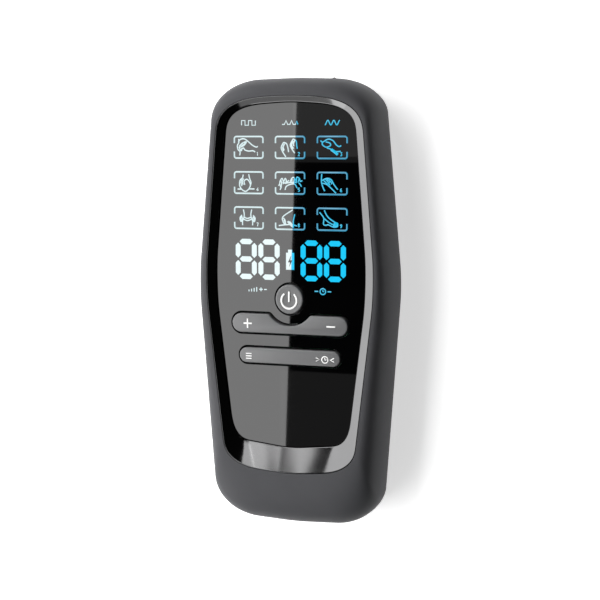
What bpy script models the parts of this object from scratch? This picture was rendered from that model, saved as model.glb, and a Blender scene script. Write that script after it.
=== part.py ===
"""A handheld TENS unit lying on its back: +Z out of its face, +Y towards its lead sockets, in metres."""

import math
from dataclasses import astuple, dataclass

import bmesh
import bpy
from mathutils import Matrix, Vector

# Overall sizes
WIDTH = 0.066
LENGTH = 0.145
THICKNESS = 0.022
WIDEST_Z = 0.0117  # height of the widest section above the back
PARTING_Z = 0.0045  # where the rear cover meets the front housing
PROFILE_POWER = 2.35  # of the superellipse that rounds the flanks
WAIST_Y = 0.0065  # where the two flanks meet in a soft corner

# Clearances
SEAT_GAP = 0.0003  # between pieces that touch
THIN_GAP = 0.0001  # under and over tape, film, label and pad
RING_GAP = 0.0002  # round the bezel, inside and out
KEY_GAP = 0.0007  # round a key, in the face and in the deck
PIVOT_GAP = 0.00008  # round a trunnion in its saddle

# Shells
WALL = 0.0018
FLOOR = 0.0018
RIM_LIP = 0.00045  # land between the bezel's recess and the start of the flank
DECK = 0.0014
TONGUE_WALL = 0.0008
TONGUE_HEIGHT = 0.0013
TONGUE_ROOT = 0.0006

# Face
FACE_DROP = 0.0018  # from the rim down to the face
LENS = 0.0016
TAPE = 0.0003
TAPE_INSET = 0.0003
TAPE_WIDTH = 0.0007
BEZEL_PROUD = 0.00015  # the bezel's inner edge above the face
BEZEL_SUNK = 0.0001  # its outer edge below the rim
EDGE_BREAK = 0.00015

# Keys
KEY_PROUD = 0.0009
KEY_EDGE = 0.00035
POWER_Y = 0.0018
POWER_RADIUS = 0.00475
POWER_FLANGE = 0.001
POWER_FLANGE_HEIGHT = 0.0008
BAR_MARGIN = 0.0131  # from the body's widest point to the end of the "+ -" bar
BAR_Y = -0.00635
BAR_HEIGHT = 0.0062
SCOOP_MARGIN = 0.0039  # between the power key and the bar that curves round it
SCOOP_FILLET = 0.0011
MODE_MARGIN = 0.01565
MODE_Y = -0.01685
MODE_HEIGHT = 0.00495
STEM_RADIUS = 0.0012
BAR_STEM_INSET = 0.0055  # from a bar's end to the stem under its symbol
MODE_STEM_INSET = 0.0035
STEM_DROP = 0.0019  # of a stem's end below the deck
BAR_LIFT = 0.0002  # of a bar's body above the deck's underside
TRUNNION_RADIUS = 0.0007
HUB_HALF = 0.0013
SADDLE_HALF = 0.0017
SADDLE_DEPTH = 0.0011
SADDLE_MOUTH = 0.0012
SADDLE_DROP = 0.0008  # below the trunnion's axis
PIVOT_DROP = 0.001  # of the trunnions below the deck

# Display
WINDOW_MARGIN = 0.0128
WINDOW_BOSS_GAP = 0.0009  # from the window to the two upper bosses
WINDOW_BOTTOM = 0.0071
WINDOW_CORNER = 0.003
WINDOW_WEB = 0.0012  # of the deck between the window and the power key's hole
CELL_WALL = 0.0009
CELL_FLOOR = 0.0008
CELL_HEIGHT = 0.0086
COLUMN_MARGIN = 0.01873  # from the body's widest point to the outer columns of symbols
COLUMN_WALL = 0.00247  # between two cells of a row
ROW_PITCH = 0.01132
SYMBOL_TOP_MARGIN = 0.0222  # from the top end to the middle of the first row
DIGIT_MARGIN = 0.02172  # from the body's widest point to the middle of a pair of digits
DIGIT_HEIGHT = 0.0136
DIGIT_WALL = 0.00143  # between the digits' cells and the gauge's
DIGIT_Y = 0.0143
GAUGE_CELL = (0.0034, 0.0078)
FILM = 0.00025

# Board
BOARD = 0.0016
BOARD_DROP = 0.0042  # from the deck to the board
BOARD_MARGIN = 0.0114
BOARD_END_MARGIN = 0.0225
BOSS_CLEARANCE = 0.0006  # round a boss, for the board and the sockets
POST_TOP_MARGIN = 0.0123
POST_INSET = (0.0036, 0.0040)  # of the two lower posts from the board's corner
BOARD_TAB_END = 0.0045
POST_RADIUS = 0.0019
BOARD_SCREW_RADIUS = 0.0008
BOARD_SCREW_HEAD = (0.0015, 0.0009)
BOARD_SCREW_LENGTH = 0.0048
DOME_RADIUS = 0.0026
DOME_SKIN = 0.0005

# Under the board
TRANSFORMER = (0.0100, 0.0100)
TRANSFORMER_X = 0.0095
TRANSFORMER_FROM_TOP = 0.0585
CONTROLLER = (0.0072, 0.0072, 0.0014)
CHARGER = (0.0050, 0.0040, 0.0015)
INDUCTOR = (0.0030, 0.0028)
BUZZER = (0.0046, 0.0040)
PLUG = (0.0060, 0.0045, 0.0034)
PLUG_GAP = 0.0008  # from the transformers to the battery's plug
CONTROLLER_AT = (0.0060, 0.0135)  # from the middle of the two transformers
CHARGER_AT = (-0.0090, 0.0115)
INDUCTOR_AT = (-0.0090, 0.0205)
BUZZER_AT = (0.0090, 0.0255)
BATTERY_MARGIN = 0.0042  # from the board's edge to the cell's
BATTERY_EDGE = 0.0018
BATTERY_LOW_GAP = 0.0035  # from the pillars
BATTERY_HIGH_GAP = 0.0085  # from the transformers, for the leads
PAD = 0.0018
PAD_INSET = 0.0025
PAD_CORNER = 0.001
LEAD_RADIUS = 0.0005
RAIL = (0.0008, 0.0026)
RAIL_SHORT = 0.004  # of the battery's corners

# Top end
JACK_BODY = (0.0060, 0.0125, 0.0046)
JACK_NOSE = 0.00165
JACK_BORE = 0.00122
JACK_SUNK = 0.0011  # of the socket's mouth from the top end, level with the curve of the shell
JACK_SETBACK = 0.0040  # from the top end to the body of the socket
PORT = (0.00894, 0.00326, 0.0074)
PORT_WALL = 0.0003
PORT_RECESS = 0.0009
TONGUE = (0.0067, 0.0007, 0.0045)
NUB_RADIUS = 0.00075  # of the raised dot that marks the second channel
NUB_FROM_JACK = 0.0023
NUB_Z = 0.0108

# Case screws
BOSS_RADIUS = 0.0034
BOSS_MARGIN = BOSS_RADIUS + 0.0088
BOSS_TOP_MARGIN = BOSS_RADIUS + 0.0086
BOSS_BOTTOM_MARGIN = BOSS_RADIUS + 0.0094
BOSS_RISE = 0.0008  # of its foot above the parting line
PILLAR_RADIUS = BOSS_RADIUS + 0.0006
SCREW_RADIUS = 0.0010
SCREW_HEAD = (0.0020, 0.0013)
SCREW_LENGTH = 0.0085
SCREW_BORE_GAP = 0.00015
HEAD_GAP = 0.0003
HEAD_SEAT_Z = 0.0030

# Label
LABEL = (0.030, 0.040, 0.00015)
LABEL_Y = 0.012
LABEL_RECESS = 0.00027
LABEL_CORNER = 0.002

HALF_W, HALF_L = WIDTH / 2, LENGTH / 2
FACE_Z = THICKNESS - FACE_DROP
LENS_LOW = FACE_Z - LENS
DECK_TOP = LENS_LOW - TAPE - 2 * THIN_GAP
DECK_LOW = DECK_TOP - DECK
BOARD_TOP = DECK_LOW - BOARD_DROP
BOARD_LOW = BOARD_TOP - BOARD
KEY_TOP = FACE_Z + KEY_PROUD
DOME_BASE = BOARD_TOP + SEAT_GAP
STEM_LOW = DECK_LOW - STEM_DROP
DOME_TOP = STEM_LOW - SEAT_GAP
PIVOT_Z = DECK_LOW - PIVOT_DROP
BAR_HALF = HALF_W - BAR_MARGIN
MODE_HALF = HALF_W - MODE_MARGIN
SCOOP_RADIUS = POWER_RADIUS + SCOOP_MARGIN
WINDOW_TOP = HALF_L - BOSS_TOP_MARGIN - BOSS_RADIUS - WINDOW_BOSS_GAP
OVERLAP = 0.0004  # how far shapes that are joined run into each other
REACH = 0.002  # how far a cutter runs past what it cuts

BIG_CORNER = 9  # points on an end corner
SOFT_CORNER = 4  # points on a corner that barely turns


@dataclass
class Outline:
    """Half of a plan outline, as corners that superelliptic curves round off.

    A reach is how far the rounding starts from its corner, first along the end and then along the flank.
    """

    top: float
    top_x: float
    top_y: float
    top_end_reach: float
    top_flank_reach: float
    top_power: float
    waist_x: float
    waist_reach: float
    bottom_x: float
    bottom_y: float
    bottom_flank_reach: float
    bottom_end_reach: float
    bottom_power: float
    bottom: float


BODY = Outline(
    top=HALF_L,
    top_x=HALF_W - 0.0056,
    top_y=HALF_L - 0.0008,
    top_end_reach=0.529 * (HALF_W - 0.0056),
    top_flank_reach=0.0105,
    top_power=2.0,
    waist_x=HALF_W + 0.0003,
    waist_reach=0.007,
    bottom_x=HALF_W - 0.0054,
    bottom_y=-HALF_L + 0.0012,
    bottom_flank_reach=0.0105,
    bottom_end_reach=0.507 * (HALF_W - 0.0054),
    bottom_power=2.0,
    bottom=-HALF_L,
)
RIM = Outline(
    top=HALF_L - 0.0057,
    top_x=HALF_W - 0.0086,
    top_y=HALF_L - 0.0066,
    top_end_reach=0.808 * (HALF_W - 0.0086),
    top_flank_reach=0.0120,
    top_power=2.8,
    waist_x=HALF_W - 0.00375,
    waist_reach=0.0095,
    bottom_x=HALF_W - 0.0109,
    bottom_y=-HALF_L + 0.0193,
    bottom_flank_reach=0.0088,
    bottom_end_reach=0.576 * (HALF_W - 0.0109),
    bottom_power=2.6,
    bottom=-HALF_L + 0.0175,
)
FACE = Outline(
    top=HALF_L - 0.0078,
    top_x=HALF_W - 0.0114,
    top_y=HALF_L - 0.0092,
    top_end_reach=0.699 * (HALF_W - 0.0114),
    top_flank_reach=0.0092,
    top_power=3.0,
    waist_x=HALF_W - 0.0069,
    waist_reach=0.0105,
    bottom_x=HALF_W - 0.0133,
    bottom_y=-HALF_L + 0.0280,
    bottom_flank_reach=0.0098,
    bottom_end_reach=0.335 * (HALF_W - 0.0133),
    bottom_power=3.0,
    bottom=-HALF_L + 0.0259,
)
BACK_INSET = 0.0050
CENTRE_REACH = 0.12 * HALF_W  # of the soft corner in the middle of each end
LEAST_REACH = 0.001


def inset(outline, by):
    """The outline drawn in by a distance, with its roundings kept concentric."""
    values = dict(vars(outline))
    for name, value in values.items():
        if name.endswith("reach"):
            values[name] = max(value - by, LEAST_REACH)
        elif name.endswith("_x"):
            values[name] = value - by
        elif not name.endswith("power"):
            values[name] = value - by * math.copysign(1, value)
    return Outline(**values)


def mix(first, second, share):
    return Outline(*(a + (b - a) * share for a, b in zip(astuple(first), astuple(second))))


def rounded_corner(before, corner, after, reach_in, reach_out, power, steps):
    """Points of a superelliptic arc, from the side that comes from `before` to the one towards `after`."""
    start = corner + (before - corner).normalized() * reach_in
    end = corner + (after - corner).normalized() * reach_out
    middle = start + end - corner
    points = []
    for step in range(steps):
        angle = math.pi / 2 * step / (steps - 1)
        along = math.cos(angle) ** (2 / power) if step < steps - 1 else 0.0
        across = math.sin(angle) ** (2 / power)
        points.append(middle + (corner - end) * along + (corner - start) * across)
    return points


def plan_points(outline):
    """The whole outline, clockwise from the middle of the top end."""
    top = Vector((0, outline.top))
    bottom = Vector((0, outline.bottom))
    upper = Vector((outline.top_x, outline.top_y))
    waist = Vector((outline.waist_x, WAIST_Y))
    lower = Vector((outline.bottom_x, outline.bottom_y))
    half = []
    half += rounded_corner(
        top, upper, waist, outline.top_end_reach, outline.top_flank_reach, outline.top_power, BIG_CORNER
    )
    half += rounded_corner(
        upper, waist, lower, outline.waist_reach, outline.waist_reach, 2, SOFT_CORNER
    )
    half += rounded_corner(
        waist, lower, bottom,
        outline.bottom_flank_reach, outline.bottom_end_reach, outline.bottom_power, BIG_CORNER,
    )
    other = [Vector((-p.x, p.y)) for p in reversed(half)]
    foot = rounded_corner(
        lower, bottom, Vector((-lower.x, lower.y)), CENTRE_REACH, CENTRE_REACH, 2, SOFT_CORNER
    )
    head = rounded_corner(
        Vector((-upper.x, upper.y)), top, upper, CENTRE_REACH, CENTRE_REACH, 2, SOFT_CORNER
    )
    return half + foot + other + head


LIP = inset(RIM, -RIM_LIP)
BACK = inset(BODY, BACK_INSET)


def shell_section(z):
    """The body's outline at a height."""
    above = z > WIDEST_Z
    rise = (z - WIDEST_Z) / (THICKNESS - WIDEST_Z) if above else (WIDEST_Z - z) / WIDEST_Z
    share = (1 - min(rise, 1.0) ** PROFILE_POWER) ** (1 / PROFILE_POWER)
    return mix(LIP if above else BACK, BODY, share)


def rounded_heights(start, end, steps):
    """Heights from start to end, closer together where the flank turns over at `end`."""
    return [
        start + (end - start) * math.sin(math.pi / 2 * step / steps) ** (2 / PROFILE_POWER)
        for step in range(steps + 1)
    ]


def even_heights(start, end, steps):
    return [start + (end - start) * step / steps for step in range(steps + 1)]


for old in list(bpy.data.objects):
    bpy.data.objects.remove(old)
PARTS = bpy.data.collections.new("tens_unit")
CUTTERS = bpy.data.collections.new("cutters")
bpy.context.scene.collection.children.link(PARTS)
bpy.context.scene.collection.children.link(CUTTERS)
CUTTERS.hide_render = True


def finish(name, colour, roughness, metallic=0.0):
    material = bpy.data.materials.new(name)
    material.use_nodes = True
    shader = material.node_tree.nodes["Principled BSDF"]
    shader.inputs["Base Color"].default_value = (*colour, 1)
    shader.inputs["Roughness"].default_value = roughness
    shader.inputs["Metallic"].default_value = metallic
    return material


SHELL_PLASTIC = finish("shell_plastic", (0.075, 0.077, 0.082), 0.55)
BEZEL_METAL = finish("bezel_plating", (0.32, 0.32, 0.33), 0.12, 1.0)
LENS_ACRYLIC = finish("lens_acrylic", (0.004, 0.004, 0.005), 0.06)
KEY_PLASTIC = finish("key_plastic", (0.17, 0.17, 0.175), 0.40)
WHITE_PLASTIC = finish("white_plastic", (0.80, 0.80, 0.78), 0.50)
FILM_PLASTIC = finish("diffuser_film", (0.85, 0.88, 0.90), 0.35)
TAPE_FOAM = finish("tape_foam", (0.03, 0.03, 0.03), 0.85)
PAD_FOAM = finish("pad_foam", (0.12, 0.12, 0.12), 0.95)
BOARD_LAMINATE = finish("board_laminate", (0.02, 0.13, 0.06), 0.45)
DOME_RUBBER = finish("dome_rubber", (0.55, 0.55, 0.52), 0.60)
CHIP_RESIN = finish("chip_resin", (0.02, 0.02, 0.022), 0.50)
FERRITE = finish("ferrite", (0.09, 0.09, 0.10), 0.45)
POUCH = finish("battery_pouch", (0.62, 0.63, 0.65), 0.35, 0.8)
STEEL = finish("screw_steel", (0.45, 0.45, 0.46), 0.35, 1.0)
PORT_STEEL = finish("port_steel", (0.62, 0.62, 0.63), 0.25, 1.0)
JACK_PLASTIC = finish("jack_plastic", (0.03, 0.03, 0.032), 0.40)
RED_LEAD = finish("red_lead", (0.60, 0.03, 0.02), 0.50)
BLACK_LEAD = finish("black_lead", (0.02, 0.02, 0.02), 0.50)
LABEL_FOIL = finish("label_foil", (0.46, 0.47, 0.48), 0.45, 0.4)


def add(name, mesh, material=None):
    """A part of the object if it has a material, and a cutter or a shape to join if not."""
    made = bpy.data.objects.new(name, mesh)
    if material:
        mesh.materials.append(material)
        mesh.shade_smooth()
        mesh.set_sharp_from_angle(angle=math.radians(32))
        PARTS.objects.link(made)
    else:
        made.hide_render = True
        made.display_type = "WIRE"
        CUTTERS.objects.link(made)
    return made


def settled(guide):
    """The evaluated mesh of a curve or a modified object, welded, with its place applied; the guide goes."""
    bpy.context.view_layer.update()
    evaluated = guide.evaluated_get(bpy.context.evaluated_depsgraph_get())
    mesh = bpy.data.meshes.new_from_object(evaluated)
    mesh.transform(guide.matrix_world)
    shape = bmesh.new()
    shape.from_mesh(mesh)
    bmesh.ops.remove_doubles(shape, verts=shape.verts, dist=1e-6)
    bmesh.ops.recalc_face_normals(shape, faces=shape.faces)
    shape.to_mesh(mesh)
    shape.free()
    mesh.materials.clear()
    bpy.data.objects.remove(guide)
    return mesh


def plate(name, loops, low, high, material=None, place=None):
    """A flat piece between two heights. The first loop is its outline and any others are its holes."""
    curve = bpy.data.curves.new(name, "CURVE")
    curve.dimensions = "2D"
    curve.fill_mode = "BOTH"
    curve.extrude = (high - low) / 2
    for loop in loops:
        spline = curve.splines.new("POLY")
        spline.points.add(len(loop) - 1)
        spline.use_cyclic_u = True
        for point, at in zip(spline.points, loop):
            point.co = (at[0], at[1], 0, 1)
    guide = bpy.data.objects.new(name, curve)
    CUTTERS.objects.link(guide)
    guide.matrix_world = (place or Matrix()) @ Matrix.Translation((0, 0, (low + high) / 2))
    return add(name, settled(guide), material)


def block(name, low, high, material=None):
    shape = bmesh.new()
    size = Vector(high) - Vector(low)
    middle = (Vector(low) + Vector(high)) / 2
    bmesh.ops.create_cube(shape, size=1, matrix=Matrix.Translation(middle) @ Matrix.Diagonal((*size, 1)))
    mesh = bpy.data.meshes.new(name)
    shape.to_mesh(mesh)
    shape.free()
    return add(name, mesh, material)


def rod(name, radius, start, end, sides=24, material=None):
    """A cylinder from one point to another."""
    axis = Vector(end) - Vector(start)
    turn = axis.to_track_quat("Z", "Y").to_matrix().to_4x4()
    shape = bmesh.new()
    bmesh.ops.create_cone(
        shape, cap_ends=True, segments=sides, radius1=radius, radius2=radius, depth=axis.length,
        matrix=Matrix.Translation((Vector(start) + Vector(end)) / 2) @ turn,
    )
    mesh = bpy.data.meshes.new(name)
    shape.to_mesh(mesh)
    shape.free()
    return add(name, mesh, material)


def turned(name, profile, material, at, sides=24):
    """A solid of revolution about a vertical axis. The profile of (radius, height) runs top to bottom."""
    mesh = bpy.data.meshes.new(name)
    mesh.from_pydata([(r, 0, z) for r, z in profile], [(i, i + 1) for i in range(len(profile) - 1)], [])
    guide = bpy.data.objects.new(name, mesh)
    CUTTERS.objects.link(guide)
    screw = guide.modifiers.new("turn", "SCREW")
    screw.steps = screw.render_steps = sides
    screw.use_merge_vertices = True
    screw.merge_threshold = 1e-5
    guide.location = at
    return add(name, settled(guide), material)


def loft(name, rings, material=None, closed=False):
    """A skin over rings of equal counts, with a cap at each end, or closed round on itself."""
    shape = bmesh.new()
    rows = [[shape.verts.new(point) for point in ring] for ring in rings]
    for below, above in zip(rows, rows[1:] + rows[:1] if closed else rows[1:]):
        for i in range(len(below)):
            j = (i + 1) % len(below)
            shape.faces.new((below[i], below[j], above[j], above[i]))
    if not closed:
        shape.faces.new(rows[0])
        shape.faces.new(rows[-1])
    bmesh.ops.recalc_face_normals(shape, faces=shape.faces)
    mesh = bpy.data.meshes.new(name)
    shape.to_mesh(mesh)
    shape.free()
    return add(name, mesh, material)


def ring_at(outline, z):
    return [Vector((p.x, p.y, z)) for p in plan_points(outline)]


def change(target, other, operation):
    step = target.modifiers.new(f"{operation.lower()}_{other.name}"[:60], "BOOLEAN")
    step.operation = operation
    step.object = other
    step.solver = "EXACT"


def cut(target, *cutters):
    for cutter in cutters:
        change(target, cutter, "DIFFERENCE")


def join(target, *others):
    for other in others:
        change(target, other, "UNION")


def break_top_edge(target, z, width, segments=2):
    """Rounds the edges that lie all the way round at height z."""
    mesh = target.data
    weights = mesh.attributes.new("bevel_weight_edge", "FLOAT", "EDGE")
    for edge in mesh.edges:
        if all(abs(mesh.vertices[i].co.z - z) < 1e-6 for i in edge.vertices):
            weights.data[edge.index].value = 1.0
    bevel = target.modifiers.new("edge", "BEVEL")
    bevel.limit_method = "WEIGHT"
    bevel.width = width
    bevel.segments = segments


def put_origin(target, at):
    """Moves the object's origin to a point and leaves its shape where it is."""
    target.data.transform(Matrix.Translation(-Vector(at)))
    target.location = at


def arc(centre, radius, start, end, steps):
    """Points on an arc between two angles in degrees, both ends included."""
    angles = [math.radians(start + (end - start) * step / steps) for step in range(steps + 1)]
    return [
        Vector((centre[0] + radius * math.cos(a), centre[1] + radius * math.sin(a))) for a in angles
    ]


def circle(centre, radius, steps=32):
    return arc(centre, radius, 0, 360, steps)[:-1]


def rounded_box(middle, size, corner, steps=4):
    """A rectangle with rounded corners."""
    x, y = size[0] / 2 - corner, size[1] / 2 - corner
    points = []
    for quarter, (sx, sy) in enumerate(((1, 1), (-1, 1), (-1, -1), (1, -1))):
        centre = (middle[0] + sx * x, middle[1] + sy * y)
        points += arc(centre, corner, 90 * quarter, 90 * quarter + 90, steps)
    return points


def mode_outline(grow=0.0):
    """The plain bar key's outline, grown all round by a clearance."""
    return rounded_box(
        (0, MODE_Y),
        (2 * (MODE_HALF + grow), MODE_HEIGHT + 2 * grow),
        MODE_HEIGHT / 2 + grow - 1e-5,
        7,
    )


def bar_outline(grow=0.0):
    """The scooped bar key's outline: a capsule whose upper edge curves round the power key."""
    end_radius = BAR_HEIGHT / 2 + grow
    end_x = BAR_HALF - BAR_HEIGHT / 2
    top = BAR_Y + end_radius
    scoop = SCOOP_RADIUS - grow
    fillet = SCOOP_FILLET + grow
    fillet_y = top - fillet
    fillet_x = math.sqrt((scoop + fillet) ** 2 - (POWER_Y - fillet_y) ** 2)
    lean = math.degrees(math.atan2(POWER_Y - fillet_y, -fillet_x))
    right = arc((end_x, BAR_Y), end_radius, -90, 90, 14) + arc((fillet_x, fillet_y), fillet, 90, lean, 3)
    left = [Vector((-p.x, p.y)) for p in reversed(right)]
    return right + arc((0, POWER_Y), scoop, lean - 180, -lean, 9)[1:-1] + left


# Front housing: the lofted shell, hollowed out under its deck and recessed over it.
flank = even_heights(PARTING_Z + SEAT_GAP, WIDEST_Z, 2)[:-1] + rounded_heights(WIDEST_Z, THICKNESS, 8)
front = loft("front_housing", [ring_at(shell_section(z), z) for z in flank], SHELL_PLASTIC)
hollow = [PARTING_Z - REACH, PARTING_Z, PARTING_Z + TONGUE_HEIGHT, WIDEST_Z, DECK_LOW]
cut(
    front,
    loft("cavity", [ring_at(inset(shell_section(z), WALL), z) for z in hollow]),
    plate("face_recess", [plan_points(RIM)], DECK_TOP, THICKNESS + REACH),
)

window = plate(
    "window",
    [
        rounded_box(
            (0, (WINDOW_TOP + WINDOW_BOTTOM) / 2),
            (2 * (HALF_W - WINDOW_MARGIN), WINDOW_TOP - WINDOW_BOTTOM),
            WINDOW_CORNER,
        )
    ],
    DECK_LOW - REACH,
    DECK_TOP + REACH,
)
web_radius = POWER_RADIUS + KEY_GAP + WINDOW_WEB
cut(window, rod("window_web", web_radius, (0, POWER_Y, 0), (0, POWER_Y, THICKNESS), 32))
key_holes = plate("power_hole", [circle((0, POWER_Y), POWER_RADIUS + KEY_GAP)], 0, THICKNESS + REACH)
bar_hole = plate("bar_hole", [bar_outline(KEY_GAP)], DECK_LOW - REACH, THICKNESS + REACH)
mode_hole = plate("mode_hole", [mode_outline(KEY_GAP)], DECK_LOW - REACH, THICKNESS + REACH)
deck_cuts = (window, key_holes, bar_hole, mode_hole)


def saddle(name, y, outwards):
    """A rib under the deck that a trunnion snaps into from below."""
    near, far = sorted((y + outwards * RING_GAP, y + outwards * (RING_GAP + SADDLE_DEPTH)))
    rib = block(
        name, (-SADDLE_HALF, near, PIVOT_Z - SADDLE_DROP), (SADDLE_HALF, far, DECK_LOW + OVERLAP)
    )
    bore = TRUNNION_RADIUS + PIVOT_GAP
    cut(
        rib,
        rod(name + "_bore", bore, (0, near - REACH / 2, PIVOT_Z), (0, far + REACH / 2, PIVOT_Z), 16),
        block(
            name + "_mouth",
            (-SADDLE_MOUTH / 2, near - REACH / 2, PIVOT_Z - REACH),
            (SADDLE_MOUTH / 2, far + REACH / 2, PIVOT_Z),
        ),
    )
    return rib


BAR_LOW = BAR_Y - BAR_HEIGHT / 2
BAR_HIGH = POWER_Y - SCOOP_RADIUS
MODE_LOW = MODE_Y - MODE_HEIGHT / 2
MODE_HIGH = MODE_Y + MODE_HEIGHT / 2
saddles = (
    saddle("bar_saddle_low", BAR_LOW - KEY_GAP, -1),
    saddle("bar_saddle_high", BAR_HIGH + KEY_GAP, 1),
    saddle("mode_saddle_low", MODE_LOW - KEY_GAP, -1),
    saddle("mode_saddle_high", MODE_HIGH + KEY_GAP, 1),
)

BOSS_PLACES = [
    (side * (HALF_W - BOSS_MARGIN), y)
    for y in (HALF_L - BOSS_TOP_MARGIN, -HALF_L + BOSS_BOTTOM_MARGIN)
    for side in (-1, 1)
]
BOSS_FOOT = PARTING_Z + BOSS_RISE
bosses = [
    rod(f"boss_{i}", BOSS_RADIUS, (x, y, BOSS_FOOT), (x, y, DECK_LOW + OVERLAP), 20)
    for i, (x, y) in enumerate(BOSS_PLACES)
]
SCREW_TIP = HEAD_SEAT_Z + SCREW_LENGTH
boss_bores = [
    rod(
        f"boss_bore_{i}", SCREW_RADIUS + SCREW_BORE_GAP,
        (x, y, BOSS_FOOT - REACH), (x, y, SCREW_TIP + SEAT_GAP), 16,
    )
    for i, (x, y) in enumerate(BOSS_PLACES)
]
BOARD_HALF = HALF_W - BOARD_MARGIN
TAB_HALF = HALF_W - BOSS_MARGIN - BOSS_RADIUS - BOSS_CLEARANCE
JACK_X = TAB_HALF - JACK_BODY[0] / 2
POST_PLACES = [
    (0, HALF_L - POST_TOP_MARGIN),
    (-BOARD_HALF + POST_INSET[0], -HALF_L + BOARD_END_MARGIN + POST_INSET[1]),
    (BOARD_HALF - POST_INSET[0], -HALF_L + BOARD_END_MARGIN + POST_INSET[1]),
]
posts = [
    rod(f"post_{i}", POST_RADIUS, (x, y, BOARD_TOP + SEAT_GAP), (x, y, DECK_LOW + OVERLAP), 16)
    for i, (x, y) in enumerate(POST_PLACES)
]
post_bores = [
    rod(
        f"post_bore_{i}", BOARD_SCREW_RADIUS + SCREW_BORE_GAP,
        (x, y, 0), (x, y, BOARD_LOW + BOARD_SCREW_LENGTH + SEAT_GAP), 12,
    )
    for i, (x, y) in enumerate(POST_PLACES)
]
nub_x = JACK_X - NUB_FROM_JACK
nub = rod("nub", NUB_RADIUS, (nub_x, HALF_L - WALL, NUB_Z), (nub_x, HALF_L, NUB_Z), 12)
join(front, *saddles, *bosses, *posts, nub)
cut(front, *deck_cuts, *boss_bores, *post_bores)

# Rear cover: the shallow tray, with a tongue that locates inside the housing.
tray = rounded_heights(PARTING_Z, 0, 4)
cover = loft("rear_cover", [ring_at(shell_section(z), z) for z in reversed(tray)], SHELL_PLASTIC)
inner = even_heights(FLOOR, PARTING_Z + REACH, 2)
cut(cover, loft("tray_cavity", [ring_at(inset(shell_section(z), WALL), z) for z in inner]))
tongue_outer = WALL + RING_GAP
tongue_z = (PARTING_Z - TONGUE_ROOT, PARTING_Z + TONGUE_HEIGHT)
tongue = loft(
    "tongue",
    [
        ring_at(inset(shell_section(PARTING_Z - TONGUE_ROOT), WALL - OVERLAP), PARTING_Z - TONGUE_ROOT),
        ring_at(inset(shell_section(PARTING_Z), WALL - OVERLAP), PARTING_Z - SEAT_GAP),
        ring_at(inset(shell_section(PARTING_Z), tongue_outer), PARTING_Z - SEAT_GAP),
        ring_at(inset(shell_section(tongue_z[1]), tongue_outer), tongue_z[1]),
        ring_at(inset(shell_section(tongue_z[1]), tongue_outer + TONGUE_WALL), tongue_z[1]),
        ring_at(inset(shell_section(tongue_z[0]), tongue_outer + TONGUE_WALL), tongue_z[0]),
    ],
    closed=True,
)
BATTERY_HALF = BOARD_HALF - BATTERY_MARGIN
TRANSFORMER_Y = HALF_L - TRANSFORMER_FROM_TOP
BATTERY_LOW_Y = -HALF_L + BOSS_BOTTOM_MARGIN + PILLAR_RADIUS + BATTERY_LOW_GAP
BATTERY_HIGH_Y = TRANSFORMER_Y - TRANSFORMER[1] / 2 - BATTERY_HIGH_GAP
RAIL_X = BATTERY_HALF + SEAT_GAP + RAIL[0] / 2
rails = [
    block(
        f"rail_{i}",
        (side * RAIL_X - RAIL[0] / 2, BATTERY_LOW_Y + RAIL_SHORT, FLOOR - OVERLAP),
        (side * RAIL_X + RAIL[0] / 2, BATTERY_HIGH_Y - RAIL_SHORT, FLOOR + RAIL[1]),
    )
    for i, side in enumerate((-1, 1))
]
pillars = [
    rod(f"pillar_{i}", PILLAR_RADIUS, (x, y, FLOOR - OVERLAP), (x, y, BOSS_FOOT - SEAT_GAP), 24)
    for i, (x, y) in enumerate(BOSS_PLACES)
]
counterbores = [
    rod(f"counterbore_{i}", SCREW_HEAD[0] + HEAD_GAP, (x, y, -REACH), (x, y, HEAD_SEAT_Z), 24)
    for i, (x, y) in enumerate(BOSS_PLACES)
]
clear_bores = [
    rod(f"clear_bore_{i}", SCREW_RADIUS + 2 * SCREW_BORE_GAP, (x, y, -REACH), (x, y, THICKNESS / 2), 16)
    for i, (x, y) in enumerate(BOSS_PLACES)
]
label_recess = plate(
    "label_recess",
    [rounded_box((0, LABEL_Y), (LABEL[0] + 2 * SEAT_GAP, LABEL[1] + 2 * SEAT_GAP), LABEL_CORNER + SEAT_GAP)],
    -REACH,
    LABEL_RECESS,
)
join(cover, tongue, *pillars, *rails)
cut(cover, *counterbores, *clear_bores, label_recess)

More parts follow.
